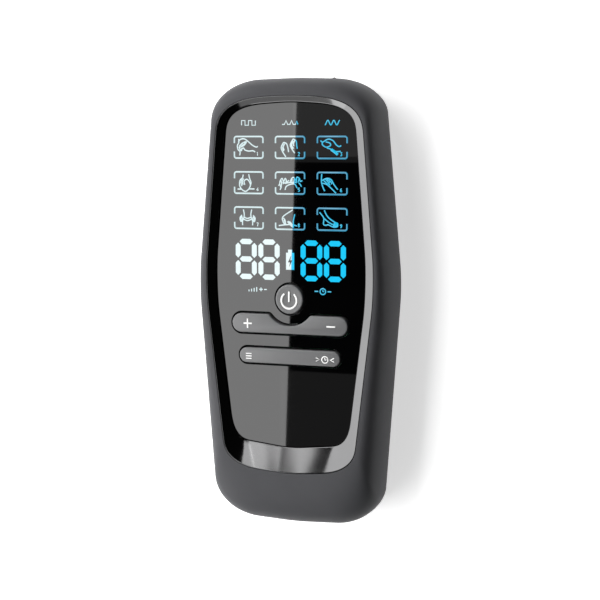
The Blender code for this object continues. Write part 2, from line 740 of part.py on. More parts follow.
# Lead sockets and charging port, through the wall of the top end.
JACK_Z = BOARD_LOW - SEAT_GAP - JACK_BODY[2] / 2
JACK_BACK = HALF_L - JACK_SETBACK - JACK_BODY[1]
JACK_FRONT = HALF_L - JACK_SETBACK
PORT_Z = BOARD_LOW - SEAT_GAP - PORT[1] / 2
PORT_FRONT = HALF_L - PORT_RECESS
for letter, side in (("a", -1), ("b", 1)):
    x = side * JACK_X
    jack = block(
        f"output_jack_{letter}",
        (x - JACK_BODY[0] / 2, JACK_BACK, JACK_Z - JACK_BODY[2] / 2),
        (x + JACK_BODY[0] / 2, JACK_FRONT, JACK_Z + JACK_BODY[2] / 2),
        JACK_PLASTIC,
    )
    mouth = HALF_L - JACK_SUNK
    join(jack, rod(f"nose_{letter}", JACK_NOSE, (x, JACK_FRONT - OVERLAP, JACK_Z), (x, mouth, JACK_Z), 24))
    bore = rod(f"bore_{letter}", JACK_BORE, (x, JACK_BACK + REACH, JACK_Z), (x, mouth + REACH, JACK_Z), 20)
    cut(jack, bore)
    opening = rod(
        f"nose_hole_{letter}", JACK_NOSE + RING_GAP,
        (x, JACK_FRONT - REACH, JACK_Z), (x, mouth + 2 * REACH, JACK_Z), 24,
    )
    room = block(
        f"jack_room_{letter}",
        (x - JACK_BODY[0] / 2 - SEAT_GAP, JACK_BACK - SEAT_GAP, JACK_Z - JACK_BODY[2] / 2 - SEAT_GAP),
        (x + JACK_BODY[0] / 2 + SEAT_GAP, JACK_FRONT + SEAT_GAP, JACK_Z + JACK_BODY[2] / 2),
    )
    cut(front, opening)
    cut(cover, opening, room)


def end_on(y):
    """The place that stands a flat outline up in the XZ plane, with its thickness along +Y from y."""
    return Matrix.Translation((0, y, 0)) @ Matrix.Rotation(math.radians(-90), 4, "X")


def port_loop(grow):
    """The port's stadium section, drawn for end_on, where a plate's +Y points down."""
    size = (PORT[0] + 2 * grow, PORT[1] + 2 * grow)
    return rounded_box((0, -PORT_Z), size, size[1] / 2 - 1e-5, 6)


port = plate("charging_port", [port_loop(0)], 0, PORT[2], PORT_STEEL, end_on(PORT_FRONT - PORT[2]))
PORT_BACK = PORT_FRONT - PORT[2]
cut(port, plate("port_inside", [port_loop(-PORT_WALL)], PORT_WALL, PORT[2] + REACH, None, end_on(PORT_BACK)))
block(
    "charging_port_tongue",
    (-TONGUE[0] / 2, PORT_BACK + PORT_WALL + SEAT_GAP, PORT_Z - TONGUE[1] / 2),
    (TONGUE[0] / 2, PORT_BACK + PORT_WALL + SEAT_GAP + TONGUE[2], PORT_Z + TONGUE[1] / 2),
    CHIP_RESIN,
)
port_hole = plate("port_hole", [port_loop(SEAT_GAP)], -PORT[2], 2 * REACH, None, end_on(HALF_L))
cut(front, port_hole)
cut(cover, port_hole)

# Bezel ring: slopes from the rim down to the face.
BEZEL_LOW = DECK_TOP + SEAT_GAP
BEZEL_HIGH = THICKNESS - BEZEL_SUNK
BEZEL_EDGE = FACE_Z + BEZEL_PROUD
outer_wall, inner_wall = inset(RIM, RING_GAP), inset(FACE, -RING_GAP)
loft(
    "bezel_ring",
    [
        ring_at(outer_wall, BEZEL_LOW),
        ring_at(outer_wall, BEZEL_HIGH - EDGE_BREAK),
        ring_at(inset(outer_wall, EDGE_BREAK), BEZEL_HIGH),
        ring_at(inset(inner_wall, -EDGE_BREAK), BEZEL_EDGE),
        ring_at(inner_wall, BEZEL_EDGE - EDGE_BREAK),
        ring_at(inner_wall, BEZEL_LOW),
    ],
    BEZEL_METAL,
    closed=True,
)

# Lens panel, with an opening for each key, and the tape that holds it.
lens = plate("lens_panel", [plan_points(FACE)], LENS_LOW, FACE_Z, LENS_ACRYLIC)
break_top_edge(lens, FACE_Z, EDGE_BREAK, 1)
cut(lens, key_holes, bar_hole, mode_hole)
TAPE_LOW = DECK_TOP + THIN_GAP
plate(
    "lens_tape",
    [plan_points(inset(FACE, TAPE_INSET)), plan_points(inset(FACE, TAPE_INSET + TAPE_WIDTH))],
    TAPE_LOW,
    TAPE_LOW + TAPE,
    TAPE_FOAM,
)

# Power key, turned, held under the deck by its flange.
FLANGE_TOP = DECK_LOW - SEAT_GAP
FLANGE_LOW = FLANGE_TOP - POWER_FLANGE_HEIGHT
flange_radius = POWER_RADIUS + POWER_FLANGE
power_key = turned(
    "power_key",
    [
        (0, KEY_TOP),
        (POWER_RADIUS - KEY_EDGE, KEY_TOP),
        (POWER_RADIUS - 0.3 * KEY_EDGE, KEY_TOP - 0.3 * KEY_EDGE),
        (POWER_RADIUS, KEY_TOP - KEY_EDGE),
        (POWER_RADIUS, FLANGE_TOP),
        (flange_radius, FLANGE_TOP),
        (flange_radius, FLANGE_LOW),
        (STEM_RADIUS, FLANGE_LOW),
        (STEM_RADIUS, STEM_LOW),
        (0, STEM_LOW),
    ],
    KEY_PLASTIC,
    (0, POWER_Y, 0),
    32,
)
put_origin(power_key, (0, POWER_Y, DECK_LOW))


def rocker(name, outline, y_low, y_high, stems):
    """A bar key on two trunnions under its middle, with a stem over each of its domes."""
    body_low = DECK_LOW + BAR_LIFT
    key = plate(name, [outline], body_low, KEY_TOP, KEY_PLASTIC)
    break_top_edge(key, KEY_TOP, KEY_EDGE)
    hub = block(
        name + "_hub",
        (-HUB_HALF, y_low + RING_GAP, PIVOT_Z - TRUNNION_RADIUS),
        (HUB_HALF, y_high - RING_GAP, body_low + OVERLAP),
    )
    side = KEY_GAP + RING_GAP + SADDLE_DEPTH
    trunnion = rod(
        name + "_trunnion", TRUNNION_RADIUS, (0, y_low - side, PIVOT_Z), (0, y_high + side, PIVOT_Z), 16
    )
    join(key, hub, trunnion)
    for i, (x, y) in enumerate(stems):
        join(key, rod(f"{name}_stem_{i}", STEM_RADIUS, (x, y, STEM_LOW), (x, y, body_low + OVERLAP), 16))
    put_origin(key, (0, (y_low + y_high) / 2, PIVOT_Z))


BAR_STEM, MODE_STEM = BAR_HALF - BAR_STEM_INSET, MODE_HALF - MODE_STEM_INSET
rocker(
    "plus_minus_key", bar_outline(), BAR_LOW, BAR_HIGH, [(-BAR_STEM, BAR_Y), (BAR_STEM, BAR_Y)]
)
rocker(
    "mode_time_key", mode_outline(), MODE_LOW, MODE_HIGH, [(-MODE_STEM, MODE_Y), (MODE_STEM, MODE_Y)]
)

# Rubber domes that the stems press.
for name, x, y in (
    ("power_dome", 0, POWER_Y),
    ("plus_dome", -BAR_STEM, BAR_Y),
    ("minus_dome", BAR_STEM, BAR_Y),
    ("mode_dome", -MODE_STEM, MODE_Y),
    ("time_dome", MODE_STEM, MODE_Y),
):
    turned(
        name,
        [
            (0, DOME_TOP),
            (STEM_RADIUS, DOME_TOP),
            (DOME_RADIUS - DOME_SKIN, DOME_BASE + DOME_SKIN),
            (DOME_RADIUS, DOME_BASE + DOME_SKIN),
            (DOME_RADIUS, DOME_BASE),
            (DOME_RADIUS - 2 * DOME_SKIN, DOME_BASE),
            (STEM_RADIUS - DOME_SKIN, DOME_TOP - DOME_SKIN),
            (0, DOME_TOP - DOME_SKIN),
        ],
        DOME_RUBBER,
        (x, y, 0),
        14,
    )

# Display: the light guide's cells under each symbol and pair of digits, and the film over them.
guide_loop = rounded_box(
    (0, (WINDOW_TOP + WINDOW_BOTTOM) / 2),
    (2 * (HALF_W - WINDOW_MARGIN - SEAT_GAP), WINDOW_TOP - WINDOW_BOTTOM - 2 * SEAT_GAP),
    WINDOW_CORNER - SEAT_GAP,
)
guide_low = BOARD_TOP + SEAT_GAP
light_guide = plate("display_light_guide", [guide_loop], guide_low, DECK_TOP, WHITE_PLASTIC)
web_clear = rod(
    "web_clearance", web_radius + SEAT_GAP, (0, POWER_Y, 0), (0, POWER_Y, THICKNESS), 32
)
first_row = HALF_L - SYMBOL_TOP_MARGIN
column_x = HALF_W - COLUMN_MARGIN
cells = [
    (column * column_x, first_row - row * ROW_PITCH, (column_x - COLUMN_WALL, CELL_HEIGHT))
    for row in range(3)
    for column in (-1, 0, 1)
]
digit_x = HALF_W - DIGIT_MARGIN
digit_cell = (2 * (digit_x - GAUGE_CELL[0] / 2 - DIGIT_WALL), DIGIT_HEIGHT)
cells += [(-digit_x, DIGIT_Y, digit_cell), (digit_x, DIGIT_Y, digit_cell), (0, DIGIT_Y, GAUGE_CELL)]
for i, (x, y, size) in enumerate(cells):
    bottom = max(y - size[1] / 2, WINDOW_BOTTOM + SEAT_GAP + CELL_WALL)
    top = min(y + size[1] / 2, WINDOW_TOP - SEAT_GAP - CELL_WALL)
    low = (x - size[0] / 2, bottom, guide_low + CELL_FLOOR)
    cut(light_guide, block(f"cell_{i}", low, (x + size[0] / 2, top, DECK_TOP + REACH)))
cut(light_guide, web_clear)
film = plate("display_film", [guide_loop], TAPE_LOW, TAPE_LOW + FILM, FILM_PLASTIC)
cut(film, web_clear)

# Main board, with a tab that carries the sockets between the two upper bosses.
shoulder = HALF_L - BOSS_TOP_MARGIN - BOSS_RADIUS - BOSS_CLEARANCE
board_loop = [
    (TAB_HALF, shoulder), (TAB_HALF, HALF_L - BOARD_TAB_END),
    (-TAB_HALF, HALF_L - BOARD_TAB_END), (-TAB_HALF, shoulder),
    (-BOARD_HALF, shoulder), (-BOARD_HALF, -HALF_L + BOARD_END_MARGIN),
    (BOARD_HALF, -HALF_L + BOARD_END_MARGIN), (BOARD_HALF, shoulder),
]
board_holes = [circle(place, BOARD_SCREW_RADIUS + 2 * SCREW_BORE_GAP, 12) for place in POST_PLACES]
plate("main_board", [board_loop, *board_holes], BOARD_LOW, BOARD_TOP, BOARD_LAMINATE)


def pan_screw(name, place, seat, radius, head, length):
    """A pan-head screw that points up, its head under the seat."""
    turned(
        name,
        [
            (0, seat + length),
            (0.4 * radius, seat + length),
            (radius, seat + length - radius),
            (radius, seat),
            (head[0], seat),
            (head[0], seat - 0.6 * head[1]),
            (0.75 * head[0], seat - head[1]),
            (0, seat - head[1]),
        ],
        STEEL,
        (*place, 0),
        16,
    )


for i, place in enumerate(POST_PLACES):
    pan_screw(
        f"board_screw_{i + 1}", place, BOARD_LOW - SEAT_GAP,
        BOARD_SCREW_RADIUS, BOARD_SCREW_HEAD, BOARD_SCREW_LENGTH,
    )
for i, place in enumerate(BOSS_PLACES):
    pan_screw(f"case_screw_{i + 1}", place, HEAD_SEAT_Z - THIN_GAP, SCREW_RADIUS, SCREW_HEAD, SCREW_LENGTH)

# Components under the board, hung from its lower face.
HANG_Z = BOARD_LOW - SEAT_GAP


def component(name, x, y, size, material):
    """A block of width, length and height."""
    low = (x - size[0] / 2, y - size[1] / 2, HANG_Z - size[2])
    block(name, low, (x + size[0] / 2, y + size[1] / 2, HANG_Z), material)


def can(name, x, y, size, material):
    """A round component of radius and height."""
    rod(name, size[0], (x, y, HANG_Z - size[1]), (x, y, HANG_Z), 24, material)


transformer_size = (*TRANSFORMER, HANG_Z - FLOOR - SEAT_GAP)
component("transformer_a", -TRANSFORMER_X, TRANSFORMER_Y, transformer_size, FERRITE)
component("transformer_b", TRANSFORMER_X, TRANSFORMER_Y, transformer_size, FERRITE)
component("controller_chip", CONTROLLER_AT[0], TRANSFORMER_Y + CONTROLLER_AT[1], CONTROLLER, CHIP_RESIN)
component("charger_chip", CHARGER_AT[0], TRANSFORMER_Y + CHARGER_AT[1], CHARGER, CHIP_RESIN)
can("boost_inductor", INDUCTOR_AT[0], TRANSFORMER_Y + INDUCTOR_AT[1], INDUCTOR, FERRITE)
can("buzzer", BUZZER_AT[0], TRANSFORMER_Y + BUZZER_AT[1], BUZZER, CHIP_RESIN)

# Battery, its foam pad, and the leads to its plug.
PAD_HIGH = HANG_Z
BATTERY_LOW = FLOOR + SEAT_GAP
BATTERY_HIGH = PAD_HIGH - PAD - THIN_GAP
battery_middle = (0, (BATTERY_LOW_Y + BATTERY_HIGH_Y) / 2)
battery_size = (2 * BATTERY_HALF, BATTERY_HIGH_Y - BATTERY_LOW_Y)
plate(
    "battery_cell", [rounded_box(battery_middle, battery_size, BATTERY_EDGE)],
    BATTERY_LOW, BATTERY_HIGH, POUCH,
)
pad_size = (battery_size[0] - 4 * PAD_INSET, battery_size[1] - 2 * PAD_INSET)
plate("battery_pad", [rounded_box(battery_middle, pad_size, PAD_CORNER)], PAD_HIGH - PAD, PAD_HIGH, PAD_FOAM)
PLUG_Y = TRANSFORMER_Y - TRANSFORMER[1] / 2 - PLUG_GAP - PLUG[1] / 2
component("battery_plug", 0, PLUG_Y, PLUG, WHITE_PLASTIC)


def lead(name, side, material):
    """An insulated wire from the cell's end face to the plug's."""
    x = side * PLUG[0] / 4
    start = Vector((x * 1.6, BATTERY_HIGH_Y + SEAT_GAP, (BATTERY_LOW + BATTERY_HIGH) / 2))
    end = Vector((x, PLUG_Y - PLUG[1] / 2 - SEAT_GAP, HANG_Z - PLUG[2] / 2))
    reach = Vector((0, (end.y - start.y) * 0.5, 0))
    curve = bpy.data.curves.new(name, "CURVE")
    curve.dimensions = "3D"
    curve.bevel_depth = LEAD_RADIUS
    curve.bevel_resolution = 2
    curve.use_fill_caps = True
    spline = curve.splines.new("POLY")
    steps = 8
    spline.points.add(steps)
    for i, point in enumerate(spline.points):
        t = i / steps
        at = (
            (1 - t) ** 3 * start
            + 3 * (1 - t) ** 2 * t * (start + reach)
            + 3 * (1 - t) * t * t * (end - reach)
            + t**3 * end
        )
        point.co = (*at, 1)
    made = bpy.data.objects.new(name, curve)
    CUTTERS.objects.link(made)
    add(name, settled(made), material)


lead("battery_lead_positive", 1, RED_LEAD)
lead("battery_lead_negative", -1, BLACK_LEAD)

# Rating label, blank, in its recess in the back.
plate(
    "rating_label",
    [rounded_box((0, LABEL_Y), LABEL[:2], LABEL_CORNER)],
    LABEL_RECESS - THIN_GAP - LABEL[2],
    LABEL_RECESS - THIN_GAP,
    LABEL_FOIL,
)
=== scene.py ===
"""Looks of a handheld TENS unit: matt shells, a dark bright ring, a black face and three grey keys."""

import math

import bmesh
import bpy
from mathutils import Matrix, Vector


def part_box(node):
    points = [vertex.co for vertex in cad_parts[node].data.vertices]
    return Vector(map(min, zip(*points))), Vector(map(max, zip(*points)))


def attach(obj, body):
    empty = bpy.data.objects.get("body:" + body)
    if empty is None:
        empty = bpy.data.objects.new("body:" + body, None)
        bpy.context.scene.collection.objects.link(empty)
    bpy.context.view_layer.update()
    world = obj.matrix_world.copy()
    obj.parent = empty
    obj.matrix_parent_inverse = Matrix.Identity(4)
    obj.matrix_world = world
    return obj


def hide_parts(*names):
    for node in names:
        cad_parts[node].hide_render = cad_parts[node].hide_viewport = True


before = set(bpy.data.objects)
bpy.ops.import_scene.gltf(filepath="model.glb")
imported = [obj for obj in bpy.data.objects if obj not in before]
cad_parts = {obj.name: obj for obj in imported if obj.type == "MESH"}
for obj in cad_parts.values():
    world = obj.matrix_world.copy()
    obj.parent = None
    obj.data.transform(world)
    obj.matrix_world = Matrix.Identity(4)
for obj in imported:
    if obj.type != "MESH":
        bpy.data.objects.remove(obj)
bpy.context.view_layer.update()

# Camera: a long lens above the face, swung a little to the unit's right and towards its top end,
# so that more of the right flank shows than of the left.
FACE_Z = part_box("lens_panel")[1].z
FOCAL_LENGTH, SENSOR = 95.49, 36
CAMERA_AT = (0.18576, 0.05357, 0.47295 + FACE_Z)
CAMERA_TURN = ((0.93305, -0.03642, 0.35791), (-0.00027, 0.99479, 0.10192), (-0.35975, -0.0952, 0.92818))
lens = bpy.data.cameras.new("camera")
lens.lens = FOCAL_LENGTH
lens.sensor_width = SENSOR
lens.clip_start = 0.01


def placed(name, data):
    """An object that holds the given data, linked to the scene."""
    made = bpy.data.objects.new(name, data)
    bpy.context.scene.collection.objects.link(made)
    return made


camera = placed("camera", lens)
camera.matrix_world = Matrix.Translation(CAMERA_AT) @ Matrix(CAMERA_TURN).to_4x4()
bpy.context.scene.camera = camera
bpy.context.scene.view_settings.view_transform = "Standard"

# Table: a white sheet that the unit lies on, a hair below its back.
FLOOR_REACH, FLOOR_DROP = 30.0, 0.0001
floor_shape = bmesh.new()
bmesh.ops.create_grid(floor_shape, x_segments=2, y_segments=2, size=FLOOR_REACH)
floor_mesh = bpy.data.meshes.new("table")
floor_shape.to_mesh(floor_mesh)
floor_shape.free()
floor_mesh.transform(Matrix.Translation((0, 0, -FLOOR_DROP)))
table = placed("table", floor_mesh)


def set_inputs(node, **values):
    """Sets a node's inputs by name, with underscores for spaces."""
    for title, value in values.items():
        node.inputs[title.replace("_", " ")].default_value = value
    return node


def new_finish(name, **values):
    """A material and its shader, with the shader's inputs set."""
    material = bpy.data.materials.new(name)
    material.use_nodes = True
    return material, set_inputs(material.node_tree.nodes["Principled BSDF"], **values)


floor_mesh.materials.append(new_finish(
    "table_paint", Base_Color=(0.93, 0.93, 0.93, 1), Roughness=0.9, Specular_IOR_Level=0.1,
    Emission_Color=(1, 1, 1, 1), Emission_Strength=0.62,
)[0])

# Lights: one broad bank on the left, whose near edge the face mirrors as a line down its middle. Three
# dim cards fall in the right half of the same reflection, and two cards far above show mainly in the foot
# of the bezel. Two fills, past the top and the bottom end, light the shell.
def softbox(name, corner, along, across, radiance):
    """A rectangular lamp from one corner and its two edges. It shines along their cross product."""
    along, across = Vector(along), Vector(across)
    lamp = bpy.data.lights.new(name, "AREA")
    lamp.shape = "RECTANGLE"
    lamp.size = along.length
    lamp.size_y = across.length
    lamp.energy = radiance * math.pi * along.length * across.length
    held = placed(name, lamp)
    x = along.normalized()
    z = -x.cross(across).normalized()
    turn = Matrix((x, z.cross(x), z)).transposed().to_4x4()
    held.matrix_world = Matrix.Translation(Vector(corner) + along / 2 + across / 2) @ turn
    held.visible_camera = False


CARD_Z, FAR_Z = FACE_Z + 0.3, FACE_Z + 0.9
softbox("bank_left", (-0.1063, 0.296, CARD_Z), (-0.0231, -0.66, 0), (-0.32, 0.0112, -0.2222), 4.3)
softbox("card_upper", (-0.1160, 0.0435, CARD_Z), (0, 0.0425, 0), (0.052, 0, 0), 0.55)
softbox("card_edge", (-0.1160, 0.0405, CARD_Z), (0, 0.003, 0), (0.052, 0, 0), 0.2)
softbox("card_lower", (-0.1235, -0.125, CARD_Z), (0, 0.056, 0), (0.057, 0, 0), 0.2)
softbox("card_far", (-0.333, 0.090, FAR_Z), (0, 0.08, 0), (0.088, 0, 0), 4.0)
softbox("card_corner", (-0.27, -0.13, FAR_Z), (0, 0.15, 0), (0.13, 0, 0), 0.65)
softbox("fill_top", (-0.7, 0.75, 0.1), (0.6, 0, 0), (0, -0.25, 0.45), 3.6)
softbox("fill_bottom", (0.0, -0.80, 0.15), (-0.8, 0, 0), (0, 0.15, 0.34), 1.1)
world = bpy.data.worlds.new("studio")
world.use_nodes = True
set_inputs(world.node_tree.nodes["Background"], Color=(0.012, 0.012, 0.012, 1))
bpy.context.scene.world = world


# Front housing: the upper shell, moulded in matt dark grey plastic with a fine spark-eroded grain. It is
# lofted between its rim and its widest line, recessed for the face and pierced for the keys and sockets.
HALF_W, HALF_L = 0.033, 0.0725
WIDEST_Z, PARTING_Z, PARTING_GAP = 0.0117, 0.0045, 0.0003
RIM_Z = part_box("front_housing")[1].z
SHELL_WALL = 0.0018
DECK_TOP, DECK_LOW = 0.0181, 0.0167
RIM_LAND, BACK_INSET = 0.00045, 0.005
BROKEN = 0.0002  # the radius that breaks the edges at the parting line
WAIST_Y, END_REACH, LEAST_REACH = 0.0065, 0.12, 0.001
FULLNESS = 2.35  # the power of the superellipse that the flanks follow
BIG, SOFT = 26, 10  # points on an end corner and on a corner that barely turns
SHARP = math.radians(34)  # an edge that bends more than this is drawn sharp

BODY_PLAN = dict(
    top=0.0725, top_x=0.0274, top_y=0.0717, top_end=0.0145, top_flank=0.0105, top_power=2.0,
    waist_x=0.0333, waist=0.007,
    low_x=0.0276, low_y=-0.0713, low_flank=0.0105, low_end=0.0140, low_power=2.0, low=-0.0725,
)
RIM_PLAN = dict(
    top=0.0668, top_x=0.0244, top_y=0.0659, top_end=0.0197, top_flank=0.0120, top_power=2.8,
    waist_x=0.02925, waist=0.0095,
    low_x=0.0221, low_y=-0.0532, low_flank=0.0088, low_end=0.0127, low_power=2.6, low=-0.0550,
)
FACE_PLAN = dict(
    top=0.0647, top_x=0.0216, top_y=0.0633, top_end=0.0151, top_flank=0.0092, top_power=3.0,
    waist_x=0.0261, waist=0.0105,
    low_x=0.0197, low_y=-0.0445, low_flank=0.0098, low_end=0.0066, low_power=3.0, low=-0.0466,
)
DISTANCES_IN = ("top", "top_y", "low", "low_y")
REACHES = ("top_end", "top_flank", "waist", "low_flank", "low_end")


def drawn_in(plan, by):
    """The plan outline drawn in by a distance, its corners kept concentric."""
    made = dict(plan)
    for part, value in plan.items():
        if part in REACHES:
            made[part] = max(value - by, LEAST_REACH)
        elif part.endswith("_x"):
            made[part] = value - by
        elif part in DISTANCES_IN:
            made[part] = value - by if value > 0 else value + by
    return made


def between(first, second, share):
    return {part: first[part] + (second[part] - first[part]) * share for part in first}


def corner_arc(before, corner, after, reach_in, reach_out, power, steps):
    """Points of a superelliptic corner."""
    start = corner + (before - corner).normalized() * reach_in
    end = corner + (after - corner).normalized() * reach_out
    middle = start + end - corner
    points = []
    for step in range(steps):
        angle = math.pi / 2 * step / (steps - 1)
        along = max(math.cos(angle), 0) ** (2 / power)
        points.append(middle + (corner - end) * along + (corner - start) * math.sin(angle) ** (2 / power))
    return points


def plan_loop(plan):
    """The whole outline in plan, clockwise from the middle of the top end."""
    top, bottom = Vector((0, plan["top"])), Vector((0, plan["low"]))
    upper, lower = Vector((plan["top_x"], plan["top_y"])), Vector((plan["low_x"], plan["low_y"]))
    waist = Vector((plan["waist_x"], WAIST_Y))
    half = corner_arc(top, upper, waist, plan["top_end"], plan["top_flank"], plan["top_power"], BIG)
    half += corner_arc(upper, waist, lower, plan["waist"], plan["waist"], 2, SOFT)
    half += corner_arc(waist, lower, bottom, plan["low_flank"], plan["low_end"], plan["low_power"], BIG)
    other = [Vector((-p.x, p.y)) for p in reversed(half)]
    reach = END_REACH * HALF_W
    foot = corner_arc(lower, bottom, Vector((-lower.x, lower.y)), reach, reach, 2, SOFT)
    head = corner_arc(Vector((-upper.x, upper.y)), top, upper, reach, reach, 2, SOFT)
    return half + foot + other + head


LIP_PLAN = drawn_in(RIM_PLAN, -RIM_LAND)
BACK_PLAN = drawn_in(BODY_PLAN, BACK_INSET)


def shell_plan(z):
    """The body's outline at a height: a superellipse from the widest line to the rim and to the back."""
    above = z > WIDEST_Z
    rise = (z - WIDEST_Z) / (RIM_Z - WIDEST_Z) if above else (WIDEST_Z - z) / WIDEST_Z
    share = (1 - min(max(rise, 0), 1) ** FULLNESS) ** (1 / FULLNESS)
    return between(LIP_PLAN if above else BACK_PLAN, BODY_PLAN, share)


def ring(plan, z):
    return [Vector((p.x, p.y, z)) for p in plan_loop(plan)]


def flat_ring(loop, z):
    return [Vector((p[0], p[1], z)) for p in loop]


def skin(rings, closed=False):
    """A skin over rings of equal counts: capped at both ends, or led back from the last to the first."""
    shape = bmesh.new()
    rows = [[shape.verts.new(point) for point in row] for row in rings]
    for below, above in zip(rows, rows[1:] + rows[:1] if closed else rows[1:]):
        for i in range(len(below)):
            j = (i + 1) % len(below)
            shape.faces.new((below[i], below[j], above[j], above[i]))
    if not closed:
        shape.faces.new(rows[0])
        shape.faces.new(rows[-1])
    return shape


def piece(name, shape, material=None):
    """An object made from a bmesh, smooth but for its real edges."""
    bmesh.ops.recalc_face_normals(shape, faces=shape.faces)
    mesh = bpy.data.meshes.new(name)
    shape.to_mesh(mesh)
    shape.free()
    if material:
        mesh.materials.append(material)
    mesh.shade_smooth()
    mesh.set_sharp_from_angle(angle=SHARP)
    return placed(name, mesh)


def settle(thing):
    """Turns a piece and its modifiers into a plain mesh."""
    bpy.context.view_layer.update()
    evaluated = thing.evaluated_get(bpy.context.evaluated_depsgraph_get())
    mesh = bpy.data.meshes.new_from_object(evaluated)
    thing.modifiers.clear()
    thing.data = mesh
    return thing


def carve(thing, cutters):
    """Cuts other shapes out of a piece."""
    for cutter in cutters:
        step = thing.modifiers.new("cut", "BOOLEAN")
        step.operation = "DIFFERENCE"
        step.object = cutter
        step.solver = "EXACT"
    settle(thing)
    for cutter in cutters:
        bpy.data.objects.remove(cutter)
    thing.data.set_sharp_from_angle(angle=SHARP)


def arc(centre, radius, start, end, steps):
    """Points on an arc between two angles in degrees."""
    turns = [math.radians(start + (end - start) * step / steps) for step in range(steps + 1)]
    return [Vector((centre[0] + radius * math.cos(a), centre[1] + radius * math.sin(a))) for a in turns]


def rounded_loop(middle, size, corner, steps=8):
    """A rectangle with round corners."""
    x, y = size[0] / 2 - corner, size[1] / 2 - corner
    points = []
    for quarter, (sx, sy) in enumerate(((1, 1), (-1, 1), (-1, -1), (1, -1))):
        centre = (middle[0] + sx * x, middle[1] + sy * y)
        points += arc(centre, corner, 90 * quarter, 90 * quarter + 90, steps)
    return points


def moulded(name, dark, light, roughness, grain, bump=(0.1, 0.00001), metallic=0.0, gloss=0.5, patch=60.0):
    """A procedural finish: slow patches of colour and of polish, and a fine grain in relief."""
    material, shader = new_finish(name, Metallic=metallic, Specular_IOR_Level=gloss)
    nodes, links = material.node_tree.nodes, material.node_tree.links
    place = nodes.new("ShaderNodeTexCoord")
    slow = set_inputs(nodes.new("ShaderNodeTexNoise"), Scale=patch, Detail=3)
    fine = set_inputs(nodes.new("ShaderNodeTexNoise"), Scale=grain, Detail=2)
    for noise in (slow, fine):
        links.new(place.outputs["Object"], noise.inputs["Vector"])
    ramp = nodes.new("ShaderNodeValToRGB")
    for stop, position, colour in zip(ramp.color_ramp.elements, (0.3, 0.7), (dark, light)):
        stop.position, stop.color = position, (*colour, 1)
    links.new(slow.outputs["Fac"], ramp.inputs["Fac"])
    links.new(ramp.outputs["Color"], shader.inputs["Base Color"])
    polish = set_inputs(nodes.new("ShaderNodeMapRange"), To_Min=roughness[0], To_Max=roughness[1])
    links.new(slow.outputs["Fac"], polish.inputs["Value"])
    links.new(polish.outputs["Result"], shader.inputs["Roughness"])
    relief = set_inputs(nodes.new("ShaderNodeBump"), Strength=bump[0], Distance=bump[1])
    links.new(fine.outputs["Fac"], relief.inputs["Height"])
    links.new(relief.outputs["Normal"], shader.inputs["Normal"])
    return material


shell_plastic = moulded(
    "shell_plastic", (0.050, 0.0505, 0.0545), (0.058, 0.0585, 0.063), (0.50, 0.58), 3800, (0.35, 0.00003),
    gloss=0.15,
)

POWER_Y, POWER_RADIUS = 0.0018, 0.00475
BAR_Y, BAR_HALF, BAR_HEIGHT = -0.00635, 0.0199, 0.0062
MODE_Y, MODE_HALF, MODE_HEIGHT = -0.01685, 0.01735, 0.00495
SCOOP_RADIUS, SCOOP_FILLET = 0.00865, 0.0011
KEY_GAP = 0.0007
STRAIGHT = 0.00001  # the short straight left between the two round ends of a stadium
CUT_LOW, CUT_HIGH = 0.010, 0.03


def power_loop(grow=0.0):
    return arc((0, POWER_Y), POWER_RADIUS + grow, 0, 360, 72)[:-1]


def mode_loop(grow=0.0):
    size = (2 * (MODE_HALF + grow), MODE_HEIGHT + 2 * grow)
    return rounded_loop((0, MODE_Y), size, size[1] / 2 - STRAIGHT, 14)


def bar_loop(grow=0.0):
    """A capsule whose upper edge curves round the power key."""
    end_radius = BAR_HEIGHT / 2 + grow
    end_x = BAR_HALF - BAR_HEIGHT / 2
    scoop, fillet = SCOOP_RADIUS - grow, SCOOP_FILLET + grow
    fillet_y = BAR_Y + end_radius - fillet
    fillet_x = math.sqrt((scoop + fillet) ** 2 - (POWER_Y - fillet_y) ** 2)
    lean = math.degrees(math.atan2(POWER_Y - fillet_y, -fillet_x))
    right = arc((end_x, BAR_Y), end_radius, -90, 90, 28) + arc((fillet_x, fillet_y), fillet, 90, lean, 8)
    left = [Vector((-p.x, p.y)) for p in reversed(right)]
    return right + arc((0, POWER_Y), scoop, lean - 180, -lean, 24)[1:-1] + left


def column(name, loop, low, high):
    """A plain upright cutter."""
    return piece(name, skin([flat_ring(loop, low), flat_ring(loop, high)]))


def key_cutters(tag):
    """The openings round the three keys."""
    loops = {"power": power_loop, "bar": bar_loop, "mode": mode_loop}
    return [column(f"{key}_{tag}", loop(KEY_GAP), CUT_LOW, CUT_HIGH) for key, loop in loops.items()]


def lying(name, radius, x, z, start, end, steps=48):
    """A round cutter along +Y."""
    loop = arc((x, z), radius, 0, 360, steps)[:-1]
    return piece(name, skin([[Vector((p.x, y, p.y)) for p in loop] for y in (start, end)]))


socket_a, socket_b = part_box("output_jack_a"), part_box("output_jack_b")
SOCKET_Z = (socket_a[0].z + socket_a[1].z) / 2
SOCKET_X = (socket_b[0].x + socket_b[1].x) / 2
NOSE_RADIUS, RING_GAP, PORT_GAP = 0.00165, 0.0002, 0.0003
NOSE_FROM, PORT_FROM, PAST_END = 0.066, 0.063, 0.08
port_low, port_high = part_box("charging_port")
PORT_Z = (port_low.z + port_high.z) / 2


def port_ring(grow, y):
    """The charging port's stadium outline, stood up across the unit."""
    size = (port_high.x - port_low.x + 2 * grow, port_high.z - port_low.z + 2 * grow)
    return [Vector((p.x, y, p.y)) for p in rounded_loop((0, PORT_Z), size, size[1] / 2 - STRAIGHT, 10)]


